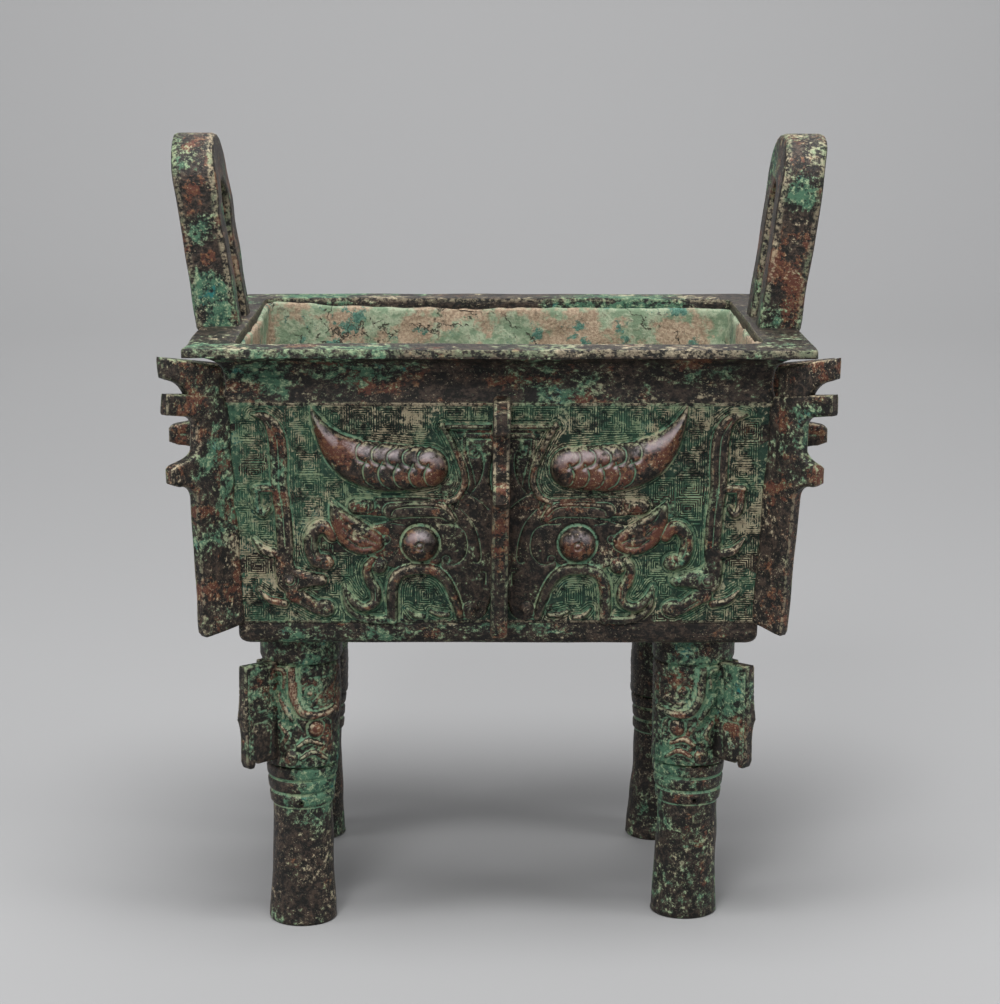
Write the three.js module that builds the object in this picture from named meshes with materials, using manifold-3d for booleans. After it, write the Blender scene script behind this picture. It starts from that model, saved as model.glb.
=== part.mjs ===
// Square bronze ding: a cast rectangular cauldron on four columnar legs.
// Millimetres, +Z up, long sides along X. The origin is on the ground under the middle of the vessel.

import * as THREE from 'three';
import { mergeVertices } from 'three/addons/utils/BufferGeometryUtils.js';
import Module from 'manifold-3d';

// Driving dimensions

// Rim and handles
const rimLength = 204;
const rimDepth = 160;
const rimHeight = 201.5;
const lipThickness = 2.9;
const handleHeight = 64.5;
const handleWidth = 45;
const handleThickness = 14.6;
const handleLegWidth = 13.5;
const handleCrown = 16.5;
const handleLean = 8;

// Body
const lipOverhang = 12.4;
const neckHeight = 19;
const neckStep = 1;
const bodyDepth = 101;
const bodyTaper = 4.2;
const wallThickness = 3;
const floorThickness = 3.6;
const footBand = 7.5;
const edgeRounding = 3.6;
const innerCornerRadius = 7;

// Flanges
const cornerFlangeThickness = 4.6;
const centreFlangeThickness = 5.6;
const cornerFlangeReach = 23.2;
const centreFlangeReach = 27.5;
const longSideFlangeDrop = 3.2;
const hookHeight = 7.2;
const hookDrop = 23.5;
const neckFlangeGap = 2;
const neckFlangeRise = 15.7;
const flangeTopRise = 2.2;
const hookTopRise = 5.3;
const bladeDrop = 2.4;
const hookNose = 1.2;

// Shares of a flange's reach, from its scooped throat to the tips of its hooks.
const throatShare = 0.53;
const bladeShare = 0.51;
const bladeFootShare = 0.45;
const lowHookShare = 0.92;
const hookHeelShare = 0.8;
const neckHookShare = 1.06;

// Legs
const legSpacingX = 132;
const legSpacingY = 88;
const collarRadius = 14;
const maskRadius = 13.3;
const maskLength = 38;
const collarLength = 9.5;
const shaftRadius = 10.2;
const footRadius = 11.5;
const ringCount = 3;
const ringPitch = 4.8;
const ringDepth = 1.5;
const collarStep = 1.6;
const legFlangeReach = 26.5;
const legFlangeLength = 36;
const legFlangeHeel = 5;
const legSides = 14;

// The legs were cast by hand: how far each stands off its place, and how far its foot strays from its top.
const legStance = [
  { side: 1, end: 1, off: [-1.6, 0], stray: [-4.2, 0] },
  { side: -1, end: 1, off: [-3.2, 0], stray: [0, 0] },
  { side: -1, end: -1, off: [-1.2, 0], stray: [0, -4.4] },
  { side: 1, end: -1, off: [0.5, 0], stray: [-2, 3] },
];

// Relief
const hornHeight = 5.4;
const eyeHeight = 5;
const eyeRadius = 6.5;
const eyeFromMiddle = 25.9;
const eyeUp = 0.375;
const ribbonHeight = 2.4;
const shieldHeight = 1.2;
const reliefSink = 0.9;

// Bands of one half of a mask: [from the middle in mm, up as a share of the panel, half width in mm].
const maskBands = [
  {
    name: 'horn, blunt towards the middle and curling up to a point',
    rise: hornHeight,
    steps: 6,
    points: [
      [17.6, 0.71, 3],
      [22, 0.7, 7.2],
      [34, 0.71, 8.8],
      [46, 0.74, 7.8],
      [55.5, 0.82, 5.6],
      [60.4, 0.96, 1],
    ],
  },
  {
    name: 'shield on the forehead',
    rise: shieldHeight,
    steps: 2,
    points: [[10.5, 0.93, 8.6], [9.5, 0.8, 6.6], [7.5, 0.66, 4.4]],
  },
  {
    name: 'ear',
    rise: ribbonHeight,
    steps: 3,
    points: [[56, 0.56, 1.4], [49, 0.51, 4.2], [40, 0.45, 4], [35.5, 0.42, 1.8]],
  },
  {
    name: 'curled fang beside the ear',
    rise: ribbonHeight,
    steps: 4,
    points: [[54, 0.46, 2.2], [61, 0.41, 3.4], [60, 0.3, 3.6], [54, 0.26, 3]],
  },
  {
    name: 'jaw',
    rise: ribbonHeight,
    steps: 6,
    points: [[34.4, 0.03, 2.8], [34.2, 0.19, 3], [24.5, 0.265, 2.8], [15, 0.18, 3], [10.5, 0.06, 3.4]],
  },
  {
    name: 'lip that hooks up outside the jaw',
    rise: ribbonHeight,
    steps: 4,
    points: [[40.6, 0.27, 3.2], [40.4, 0.14, 2.6], [44.5, 0.06, 2.6], [50.5, 0.15, 1.8]],
  },
  {
    name: 'back of the small dragon at the outer side',
    rise: ribbonHeight,
    steps: 4,
    points: [[79, 0.96, 1.4], [74, 0.86, 4], [74.5, 0.6, 4.6], [71.5, 0.32, 5], [66, 0.17, 4]],
  },
  {
    name: 'crest of the dragon',
    rise: ribbonHeight,
    steps: 3,
    points: [[74, 0.58, 2], [79.5, 0.52, 2.2], [78, 0.44, 1.6]],
  },
  {
    name: 'snout of the dragon',
    rise: ribbonHeight,
    steps: 2,
    points: [[66, 0.17, 4.2], [60, 0.08, 3.6], [54, 0.03, 2.6]],
  },
];

// Masks on the legs: places as a turn from the blade in degrees and a share of the mask's length.
const legEye = { turn: 40, up: 0.47, radius: 3.1, sides: 7 };
const legBulb = { turn: 26, up: 0.15, radius: 2.9, sides: 6 };
const legHorn = { turn: 26, sweep: 52, up: 0.8, arch: 0.1, halfWidth: 2.6, steps: 3 };
const legReliefHeight = 1.9;

// Places worked out from the driving dimensions

const floorZ = rimHeight - bodyDepth;
const panelTop = rimHeight - neckHeight;
const bandTop = floorZ + footBand;
const neckHalfX = rimLength / 2 - lipOverhang;
const neckHalfY = rimDepth / 2 - lipOverhang;
const panelHalfX = neckHalfX + neckStep;
const panelHalfY = neckHalfY + neckStep;
const panelHeight = panelTop - bandTop;
const degree = Math.PI / 180;

// How far the panel face stands in from its top line at a height z.
const inset = (z) => (bodyTaper * (panelTop - z)) / panelHeight;

// Solids

const manifold = await Module();
manifold.setup();

function solidFrom(geometry) {
  const bare = geometry.clone();
  bare.deleteAttribute('normal');
  bare.deleteAttribute('uv');
  const merged = mergeVertices(bare, 1e-4);
  return new manifold.Manifold(
    new manifold.Mesh({
      numProp: 3,
      vertProperties: new Float32Array(merged.attributes.position.array),
      triVerts: new Uint32Array(merged.index.array),
    }),
  );
}

function geometryFrom(solid) {
  const mesh = solid.getMesh();
  const geometry = new THREE.BufferGeometry();
  geometry.setAttribute('position', new THREE.BufferAttribute(new Float32Array(mesh.vertProperties), 3));
  geometry.setIndex(new THREE.BufferAttribute(new Uint32Array(mesh.triVerts), 1));
  geometry.computeVertexNormals();
  return geometry;
}

// A closed skin over rings of points, each ring turning anticlockwise about the way the rings advance.
function skin(rings) {
  const count = rings[0].length;
  const points = rings.flat();
  const faces = [];
  for (let r = 0; r + 1 < rings.length; r += 1) {
    for (let i = 0; i < count; i += 1) {
      const a = r * count + i;
      const b = r * count + ((i + 1) % count);
      faces.push(a, b, b + count, a, b + count, a + count);
    }
  }
  const last = (rings.length - 1) * count;
  for (let i = 1; i + 1 < count; i += 1) {
    faces.push(0, i + 1, i);
    faces.push(last, last + i, last + i + 1);
  }
  const geometry = new THREE.BufferGeometry();
  geometry.setAttribute('position', new THREE.Float32BufferAttribute(points.flat(), 3));
  geometry.setIndex(faces);
  return geometry;
}

// A level rectangle with rounded corners, anticlockwise from above.
function roundedRing(halfX, halfY, z, radius, steps) {
  const ring = [];
  for (let corner = 0; corner < 4; corner += 1) {
    const sx = corner === 0 || corner === 3 ? 1 : -1;
    const sy = corner < 2 ? 1 : -1;
    for (let i = 0; i <= steps; i += 1) {
      const angle = (corner + i / steps) * 90 * degree;
      ring.push([
        sx * (halfX - radius) + radius * Math.cos(angle),
        sy * (halfY - radius) + radius * Math.sin(angle),
        z,
      ]);
    }
  }
  return ring;
}

// Body: a tapering box with a rounded bottom edge, a concave neck and a flat everted lip.
function bodyLevels() {
  const levels = [];
  const bandHalf = panelHalfX - inset(bandTop);
  for (const turn of [0, 0.5, 1]) {
    const sink = edgeRounding * (1 - Math.sin(turn * 90 * degree));
    levels.push([floorZ + edgeRounding * (1 - Math.cos(turn * 90 * degree)), bandHalf - sink]);
  }
  levels.push([bandTop, bandHalf]);
  levels.push([panelTop, panelHalfX]);
  levels.push([panelTop + neckStep * 0.6, neckHalfX]);
  const sweepTop = rimHeight - lipThickness;
  const sweepStart = panelTop + neckHeight * 0.42;
  for (const turn of [0, 0.25, 0.5, 0.75, 1]) {
    const out = lipOverhang * (1 - Math.cos(turn * 90 * degree)) ** 1.15;
    const up = (sweepTop - sweepStart) * Math.sin(turn * 90 * degree);
    levels.push([sweepStart + up, neckHalfX + out]);
  }
  levels.push([rimHeight, rimLength / 2]);
  return levels;
}

function outerBody() {
  const shortfall = (rimLength - rimDepth) / 2;
  return solidFrom(skin(bodyLevels().map(([z, half]) => roundedRing(half, half - shortfall, z, 1.6, 2))));
}

function innerHollow() {
  const shortfall = (rimLength - rimDepth) / 2;
  const bottom = floorZ + floorThickness;
  const bottomHalf = panelHalfX - inset(bandTop) - wallThickness;
  const levels = [];
  for (const turn of [0, 0.5, 1]) {
    const sink = edgeRounding * (1 - Math.sin(turn * 90 * degree));
    levels.push([bottom + edgeRounding * (1 - Math.cos(turn * 90 * degree)), bottomHalf - sink]);
  }
  levels.push([panelTop, neckHalfX - wallThickness]);
  levels.push([rimHeight + lipThickness, neckHalfX - wallThickness]);
  return solidFrom(
    skin(levels.map(([z, half]) => roundedRing(half, half - shortfall, z, innerCornerRadius, 3))),
  );
}

// A plate cut to a profile drawn in (out, up), standing on a line that runs outwards from the axis.
function plate(shape, thickness, angle, foot) {
  const geometry = new THREE.ExtrudeGeometry(shape, {
    depth: thickness,
    bevelEnabled: false,
    curveSegments: 3,
  });
  geometry.translate(0, 0, -thickness / 2);
  geometry.rotateX(90 * degree);
  geometry.rotateZ(angle);
  geometry.translate(foot[0], foot[1], 0);
  return solidFrom(geometry);
}

// Flange profile: two hooks with a scooped throat between them, then a long narrow blade.
// The measure out is from the panel's top line; root is how far the plate runs into the wall.
function flangeShape(reach, slope, drop) {
  const root = -(wallThickness * 0.5 + slope);
  const throat = reach * throatShare;
  const blade = reach * bladeShare;
  const bladeEnd = reach * bladeFootShare - slope;
  const lowHook = reach * lowHookShare;
  const heel = reach * hookHeelShare;
  const top = panelTop + flangeTopRise;
  const hookTop = panelTop + hookTopRise - drop;
  const lowHookTop = hookTop - hookDrop;
  const lowHookBottom = lowHookTop - hookHeight;
  const bladeBottom = bandTop - bladeDrop;
  const shape = new THREE.Shape();
  shape.moveTo(root, bandTop);
  shape.lineTo(-slope * 0.6, bandTop - bladeDrop / 3);
  shape.quadraticCurveTo(bladeEnd * 0.6, bladeBottom, bladeEnd * 0.9, bladeBottom);
  shape.lineTo(bladeEnd, bladeBottom + hookNose);
  shape.lineTo(blade, lowHookBottom - hookHeight * 0.7);
  shape.quadraticCurveTo(blade + hookNose, lowHookBottom, heel, lowHookBottom);
  shape.lineTo(lowHook, lowHookBottom + hookNose);
  shape.lineTo(lowHook, lowHookTop - hookNose);
  shape.quadraticCurveTo(throat, lowHookTop + hookNose, throat, lowHookTop + hookHeight * 0.7);
  const hookBottom = hookTop - hookHeight;
  shape.quadraticCurveTo(throat, hookBottom - 2 * hookNose, heel, hookBottom - hookNose);
  shape.lineTo(reach - hookNose, hookBottom);
  shape.lineTo(reach, hookTop);
  shape.lineTo(reach * 0.4, (top + hookTop) / 2);
  shape.lineTo(-neckStep * 0.4, top);
  shape.lineTo(-neckStep * 0.4, panelTop - 0.2);
  shape.lineTo(root, panelTop - 0.2);
  return shape;
}

// Hooked piece that stands on the corner flange beside the neck, with a narrow gap behind it.
function neckFlangeShape(reach) {
  const foot = panelTop + flangeTopRise - 0.6;
  const crown = foot + neckFlangeRise;
  const stem = reach * throatShare + 1;
  const tip = reach * neckHookShare;
  const back = neckFlangeGap - neckStep * Math.SQRT2;
  const shape = new THREE.Shape();
  shape.moveTo(back + 1, foot);
  shape.lineTo(stem, foot);
  shape.quadraticCurveTo(stem + hookNose, crown - hookHeight - hookNose, tip - 1, crown - hookHeight);
  shape.lineTo(tip, crown);
  shape.lineTo((back + tip) / 2, crown - neckFlangeRise / 6);
  shape.lineTo(back, crown - neckFlangeRise / 3);
  return shape;
}

function cornerPlates() {
  const plates = [];
  for (const [sx, sy] of [[1, 1], [-1, 1], [-1, -1], [1, -1]]) {
    const angle = Math.atan2(sy, sx);
    const foot = [sx * panelHalfX, sy * panelHalfY];
    const hooked = flangeShape(cornerFlangeReach, bodyTaper * Math.SQRT2, 0);
    plates.push(plate(hooked, cornerFlangeThickness, angle, foot));
    plates.push(plate(neckFlangeShape(cornerFlangeReach), cornerFlangeThickness * 0.85, angle, foot));
  }
  return plates;
}

function centrePlates() {
  const feet = [[panelHalfX, 0], [0, panelHalfY], [-panelHalfX, 0], [0, -panelHalfY]];
  return feet.map((foot, i) => {
    const shape = flangeShape(centreFlangeReach, bodyTaper, (i % 2) * longSideFlangeDrop);
    return plate(shape, centreFlangeThickness, i * 90 * degree, foot);
  });
}

// Loop handles: an arch of square section, standing on the lip of each short side and leaning outwards.
function handle(side) {
  const half = handleWidth / 2;
  const arch = new THREE.Shape();
  const shoulder = handleHeight - half * 0.78;
  const sink = lipThickness * 0.7;
  const holeHalf = half - handleLegWidth;
  const holeTop = handleHeight - handleCrown;
  arch.moveTo(-half, -sink);
  arch.lineTo(-holeHalf, -sink);
  arch.lineTo(-holeHalf, holeTop - holeHalf);
  arch.absarc(0, holeTop - holeHalf, holeHalf, Math.PI, 0, true);
  arch.lineTo(holeHalf, -sink);
  arch.lineTo(half, -sink);
  arch.lineTo(half, shoulder);
  arch.bezierCurveTo(half, shoulder + half * 0.52, half * 0.6, handleHeight, 0, handleHeight);
  arch.bezierCurveTo(-half * 0.6, handleHeight, -half, shoulder + half * 0.52, -half, shoulder);
  const geometry = new THREE.ExtrudeGeometry(arch, {
    depth: handleThickness,
    bevelEnabled: false,
    curveSegments: 6,
  });
  // The shape's plane is turned to stand across the length, its thickness along X.
  geometry.rotateX(90 * degree);
  geometry.rotateZ(90 * degree);
  const shear = new THREE.Matrix4().makeShear(0, 0, 0, 0, Math.tan(handleLean * degree), 0);
  geometry.applyMatrix4(shear);
  geometry.translate(rimLength / 2 + 1.4 - handleThickness, 0, rimHeight);
  if (side < 0) {
    geometry.rotateZ(180 * degree);
  }
  return solidFrom(geometry);
}

// Legs

// Outline of a leg from the ground up, as [height, radius].
function legOutline() {
  const ringTop = floorZ - collarLength - maskLength;
  const ringBottom = ringTop - ringCount * ringPitch;
  const points = [[0, footRadius]];
  for (const share of [0.35, 0.7]) {
    const flare = (footRadius - shaftRadius) * (1 - share) ** 2;
    points.push([ringBottom * share, shaftRadius + flare]);
  }
  for (let i = 0; i < ringCount; i += 1) {
    const base = ringBottom + i * ringPitch;
    points.push([base, shaftRadius + ringDepth * 0.2]);
    points.push([base + ringPitch * 0.5, shaftRadius + ringDepth]);
  }
  points.push([ringTop + 0.6, maskRadius]);
  points.push([ringTop + maskLength - 0.4, maskRadius]);
  points.push([ringTop + maskLength + collarStep / 2, collarRadius - collarStep]);
  points.push([ringTop + maskLength + collarLength / 2, collarRadius]);
  points.push([floorZ + floorThickness * 0.5, collarRadius]);
  return points;
}

function circleRing(radius, z, sides) {
  return Array.from({ length: sides }, (_, i) => {
    const angle = ((i + 0.5) / sides) * 360 * degree;
    return [radius * Math.cos(angle), radius * Math.sin(angle), z];
  });
}

// Blade on a leg's outer corner, with a small nose half way up.
function legFlangeShape() {
  const length = legFlangeLength;
  const top = floorZ - collarLength + collarStep;
  const bottom = top - length;
  const reach = legFlangeReach;
  const root = maskRadius - wallThickness;
  const shape = new THREE.Shape();
  shape.moveTo(root, bottom + 0.8);
  shape.lineTo(reach - legFlangeHeel, bottom + 1.2);
  shape.lineTo(reach - legFlangeHeel * 0.65, bottom - 0.6);
  shape.lineTo(reach - 0.8, bottom + 1.4);
  shape.lineTo(reach - 0.6, bottom + length * 0.3);
  shape.quadraticCurveTo(reach - 0.4, bottom + length * 0.42, reach + 0.8, bottom + length * 0.48);
  shape.quadraticCurveTo(reach - 0.2, bottom + length * 0.62, reach - 0.2, bottom + length * 0.7);
  shape.lineTo(reach - 0.4, top);
  shape.lineTo(root, top - 0.4);
  return shape;
}

function leg({ side, end, off, stray }) {
  // The column leans evenly from its foot to the collar.
  const collarZ = floorZ - collarLength;
  const drift = (z) => stray.map((foot) => foot * Math.max(0, 1 - z / collarZ));
  const column = solidFrom(
    skin(
      legOutline().map(([z, radius]) => {
        const [dx, dy] = drift(z);
        return circleRing(radius, z, legSides).map(([x, y]) => [x + dx, y + dy, z]);
      }),
    ),
  );
  const outward = Math.atan2(end, side);
  const blade = plate(legFlangeShape(), cornerFlangeThickness, outward, drift(collarZ - legFlangeLength / 2));
  const parts = [column, blade];
  const bottom = collarZ - maskLength;
  for (const turn of [-1, 1]) {
    // Mask on each side of the blade: a round eye, a curling horn and a bulb for the snout.
    const at = (angle, z) => {
      const a = outward + turn * angle * degree;
      const [dx, dy] = drift(z);
      return {
        point: [Math.cos(a) * maskRadius + dx, Math.sin(a) * maskRadius + dy, z],
        normal: new THREE.Vector3(Math.cos(a), Math.sin(a), 0),
      };
    };
    for (const boss of [legEye, legBulb]) {
      const { point, normal } = at(boss.turn, bottom + maskLength * boss.up);
      parts.push(dome(point, normal, boss.radius, legReliefHeight, boss.sides));
    }
    const horn = [];
    for (let i = 0; i <= legHorn.steps; i += 1) {
      const share = i / legHorn.steps;
      const up = legHorn.up + legHorn.arch * Math.sin(share * Math.PI);
      horn.push({
        ...at(legHorn.turn + legHorn.sweep * share, bottom + maskLength * up),
        half: legHorn.halfWidth * (1 - share / 2),
        rise: legReliefHeight,
      });
    }
    parts.push(ridge(horn));
  }
  return unite(parts).translate([(side * legSpacingX) / 2 + off[0], (end * legSpacingY) / 2 + off[1], 0]);
}

// Relief forms

// A low dome on a face.
function dome(centre, normal, radius, rise, sides) {
  const rings = [];
  for (const [lift, share] of [[-reliefSink, 1.05], [rise * 0.62, 0.78], [rise, 0.3]]) {
    rings.push(
      circleRing(radius * share, lift, sides).map(([x, y, z]) => {
        const p = new THREE.Vector3(x, y, z);
        p.applyQuaternion(new THREE.Quaternion().setFromUnitVectors(new THREE.Vector3(0, 0, 1), normal));
        return [p.x + centre[0], p.y + centre[1], p.z + centre[2]];
      }),
    );
  }
  return solidFrom(skin(rings));
}

// A raised band along stations, each with a point, the face's normal there, a half width and a rise.
function ridge(stations) {
  const rings = stations.map((station, i) => {
    const before = stations[Math.max(i - 1, 0)].point;
    const after = stations[Math.min(i + 1, stations.length - 1)].point;
    const along = new THREE.Vector3(...after).sub(new THREE.Vector3(...before)).normalize();
    const normal = station.normal.clone().addScaledVector(along, -station.normal.dot(along)).normalize();
    const across = new THREE.Vector3().crossVectors(normal, along);
    const section = [
      [-1, -reliefSink],
      [-0.6, station.rise],
      [0.6, station.rise],
      [1, -reliefSink],
    ];
    return section.map(([side, lift]) => {
      const p = new THREE.Vector3(...station.point)
        .addScaledVector(across, side * station.half)
        .addScaledVector(normal, lift);
      return [p.x, p.y, p.z];
    });
  });
  return solidFrom(skin(rings.map((ring) => ring.slice().reverse())));
}

function unite(parts) {
  return parts.reduce((whole, part) => whole.add(part));
}

// A panel's own frame: u is measured sideways from the centre line and v upwards, both in millimetres.
function panelFrame(quarter) {
  const onLongSide = quarter % 2 === 1;
  const face = onLongSide ? panelHalfY : panelHalfX;
  const turn = quarter * 90 * degree;
  const out = new THREE.Vector3(Math.cos(turn), Math.sin(turn), 0);
  const side = new THREE.Vector3(-Math.sin(turn), Math.cos(turn), 0);
  const lean = Math.atan(bodyTaper / panelHeight);
  const normal = out.clone().multiplyScalar(Math.cos(lean)).add(new THREE.Vector3(0, 0, -Math.sin(lean)));
  const halfSpan = (onLongSide ? panelHalfX : panelHalfY) - bodyTaper;
  const place = (u, v) => {
    const p = out.clone().multiplyScalar(face - inset(v)).addScaledVector(side, u);
    return [p.x, p.y, v];
  };
  return { place, normal, halfSpan };
}

// A band through control points [u, v, half width], smoothed to the given number of steps.
function ribbon(frame, mirror, squeeze, points, rise, steps) {
  const curve = new THREE.CatmullRomCurve3(
    points.map(([u, v, half]) => new THREE.Vector3(u, v, half)),
    false,
    'catmullrom',
    0.5,
  );
  const stations = [];
  for (let i = 0; i <= steps; i += 1) {
    const p = curve.getPoint(i / steps);
    const v = bandTop + p.y * panelHeight;
    stations.push({
      point: frame.place(mirror * squeeze * p.x, v),
      normal: frame.normal,
      half: Math.max(p.z, 0.5),
      rise: rise * (i === 0 || i === steps ? 0.6 : 1),
    });
  }
  return ridge(stations);
}

// One half of a mask, with a small dragon at its outer side.
// On the short sides the bands keep their heights and draw together sideways.
function halfMask(quarter, mirror) {
  const frame = panelFrame(quarter);
  const squeeze = frame.halfSpan / (panelHalfX - bodyTaper);
  const bands = maskBands.map((band) =>
    ribbon(frame, mirror, squeeze, band.points, band.rise, band.steps),
  );
  const eyeAt = frame.place(mirror * squeeze * eyeFromMiddle, bandTop + eyeUp * panelHeight);
  return [...bands, dome(eyeAt, frame.normal, eyeRadius, eyeHeight, 10)];
}

function dingSolid() {
  const relief = [];
  for (let quarter = 0; quarter < 4; quarter += 1) {
    relief.push(...halfMask(quarter, 1), ...halfMask(quarter, -1));
  }
  const shell = unite([outerBody(), ...cornerPlates(), ...centrePlates(), ...relief]).subtract(innerHollow());
  return unite([shell, handle(1), handle(-1), ...legStance.map(leg)]);
}

const bronze = new THREE.MeshStandardMaterial({ color: 0x4a5a45, roughness: 0.62, metalness: 0.55 });

const ding = new THREE.Mesh(geometryFrom(dingSolid()), bronze);
ding.name = 'ding';

const vessel = new THREE.Group();
vessel.add(ding);

export default vessel;
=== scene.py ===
import math
import bpy
import numpy as np
from mathutils import Matrix, Vector
from mathutils.geometry import delaunay_2d_cdt


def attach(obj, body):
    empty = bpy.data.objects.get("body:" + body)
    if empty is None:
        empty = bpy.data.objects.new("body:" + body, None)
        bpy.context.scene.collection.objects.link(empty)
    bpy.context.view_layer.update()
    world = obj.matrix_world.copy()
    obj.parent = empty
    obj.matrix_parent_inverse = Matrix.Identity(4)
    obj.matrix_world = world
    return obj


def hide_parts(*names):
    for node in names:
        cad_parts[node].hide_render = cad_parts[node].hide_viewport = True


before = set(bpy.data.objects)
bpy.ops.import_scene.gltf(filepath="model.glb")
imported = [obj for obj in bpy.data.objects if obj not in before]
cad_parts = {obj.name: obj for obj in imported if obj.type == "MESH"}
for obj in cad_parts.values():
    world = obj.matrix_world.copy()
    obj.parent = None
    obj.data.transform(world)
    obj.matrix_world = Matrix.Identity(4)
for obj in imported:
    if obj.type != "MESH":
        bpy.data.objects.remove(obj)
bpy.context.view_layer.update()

mm = 0.001    # every length below is in millimetres, and meshes are made in metres
degree = math.pi / 180
print("frame loaded")


# Camera: placed and aimed as the photograph was taken

camera = {
    "lens": 93.6,
    "place": (-3.0, -905.1, 312.3),
    "pitch": 0.192,    # radians down
    "yaw": -0.004,
    "roll": 0.002,
}


def addCamera():
    data = bpy.data.cameras.new("camera")
    data.lens = camera["lens"]
    data.sensor_width = 36
    data.sensor_fit = "HORIZONTAL"
    data.clip_start = 0.01
    eye = bpy.data.objects.new("camera", data)
    bpy.context.scene.collection.objects.link(eye)
    place = Matrix.Translation(Vector(camera["place"]) * mm)
    turn = Matrix.Rotation(camera["yaw"], 4, "Z") @ Matrix.Rotation(math.pi / 2 - camera["pitch"], 4, "X")
    eye.matrix_world = place @ turn @ Matrix.Rotation(camera["roll"], 4, "Z")
    bpy.context.scene.camera = eye


addCamera()


# Sizes of the casting

vessel = {
    "rimLength": 204,
    "rimDepth": 160,
    "rimHeight": 201.5,
    "lipThickness": 2.9,
    "lipOverhang": 12.4,
    "neckHeight": 19,
    "neckStep": 1,
    "bodyDepth": 101,
    "bodyTaper": 4.2,
    "wall": 3,
    "floor": 3.6,
    "footBand": 7.5,
    "edgeRounding": 3.6,
    "outerCorner": 1.6,
    "innerCorner": 7,
    "lipCorner": 1.8,
    "sweepFrom": 0.42,    # share of the neck where the lip starts to sweep out
    "lipCurve": 1.15,
    "around": (52, 40, 4),    # steps of the mesh along a long side, a short side and a corner
}
floorZ = vessel["rimHeight"] - vessel["bodyDepth"]
panelTop = vessel["rimHeight"] - vessel["neckHeight"]
bandTop = floorZ + vessel["footBand"]
panelHeight = panelTop - bandTop
neckHalf = (vessel["rimLength"] / 2 - vessel["lipOverhang"], vessel["rimDepth"] / 2 - vessel["lipOverhang"])
panelHalf = (neckHalf[0] + vessel["neckStep"], neckHalf[1] + vessel["neckStep"])
shortfall = (vessel["rimLength"] - vessel["rimDepth"]) / 2


def inset(z):
    # how far the panel face stands in from its top line at a height
    return vessel["bodyTaper"] * (panelTop - z) / panelHeight


# Small tools for shapes

def smoothPath(points):
    # a Catmull-Rom curve through rows of numbers, whatever they stand for
    perSpan = 7
    p = np.array(points, float)
    if len(p) < 3:
        t = np.linspace(0, 1, perSpan + 1)[:, None]
        return p[0] + (p[1] - p[0]) * t
    p = np.vstack([2 * p[0] - p[1], p, 2 * p[-1] - p[-2]])
    t = np.linspace(0, 1, perSpan, endpoint=False)[:, None]
    spans = []
    for a, b, c, d in zip(p[:-3], p[1:-2], p[2:-1], p[3:]):
        second, third = 2 * a - 5 * b + 4 * c - d, 3 * b - a - 3 * c + d
        spans.append(0.5 * (2 * b + (c - a) * t + second * t ** 2 + third * t ** 3))
    return np.vstack([*spans, p[-2:-1]])


def strokeDistance(u, w, path):
    # distance to a stroke's edge, negative inside; a path row is (u, w, half width)
    best = np.full(u.shape, 50.0)
    reach = path[:, 2].max() + 4
    near = (u > path[:, 0].min() - reach) & (u < path[:, 0].max() + reach)
    near &= (w > path[:, 1].min() - reach) & (w < path[:, 1].max() + reach)
    un, wn = u[near], w[near]
    found = np.full(un.shape, 50.0)
    for a, b in zip(path[:-1], path[1:]):
        along = b[:2] - a[:2]
        t = ((un - a[0]) * along[0] + (wn - a[1]) * along[1]) / max(along @ along, 1e-9)
        t = np.clip(t, 0, 1)
        gap = np.hypot(un - a[0] - t * along[0], wn - a[1] - t * along[1])
        found = np.minimum(found, gap - a[2] - t * (b[2] - a[2]))
    best[near] = found
    return best


def raisedBand(u, w, points, rise, rounding):
    within = np.clip(-strokeDistance(u, w, smoothPath(points)) / rounding, 0, 1)
    return rise * np.sqrt(1 - (1 - within) ** 2)


def raisedBoss(u, w, centre, radius, rise):
    r = np.hypot(u - centre[0], w - centre[1]) / radius
    return rise * np.sqrt(np.clip(1 - r ** 2, 0, 1))


def spiral(centre, radius, turns, start):
    # points of a curl that winds inwards
    count = round(turns * 10)
    points = []
    for i in range(count + 1):
        r = radius * (1 - 0.85 * i / count)
        a = start + turns * 2 * math.pi * i / count
        points.append((centre[0] + r * math.cos(a), centre[1] + r * math.sin(a)))
    return points


def cutLine(u, w, points, width, depth):
    path = smoothPath([(a, b, 0) for a, b in points])
    return depth * np.exp(-(strokeDistance(u, w, path) / width) ** 2)


def cutRing(u, w, centre, radius, width, depth):
    r = np.hypot(u - centre[0], w - centre[1])
    return depth * np.exp(-((r - radius) / width) ** 2)


def carved(u, w, forms, bosses, cuts, rings):
    # height of the raised forms, and the depth of what is cut into them
    height = np.zeros(u.shape)
    for rise, rounding, rows in forms:
        height = np.maximum(height, raisedBand(u, w, rows, rise, rounding))
    for centre, radius, rise in bosses:
        height = np.maximum(height, raisedBoss(u, w, centre, radius, rise))
    cut = np.zeros(u.shape)
    for width, depth, rows in cuts:
        cut = np.maximum(cut, cutLine(u, w, rows, width, depth))
    for width, depth, centre, radius in rings:
        cut = np.maximum(cut, cutRing(u, w, centre, radius, width, depth))
    return height, cut


def rumple(points, wave, seed):
    # gentle unevenness of a hand-made surface: a sum of random waves, about one high
    count = 12
    rng = np.random.default_rng(seed)
    total = np.zeros(len(points))
    for _ in range(count):
        way = rng.normal(size=3)
        way /= np.linalg.norm(way)
        pitch = 2 * math.pi / (wave * rng.uniform(0.6, 1.7))
        total += np.sin(points @ way * pitch + rng.uniform(0, 2 * math.pi))
    return total / math.sqrt(count / 2)


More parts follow.
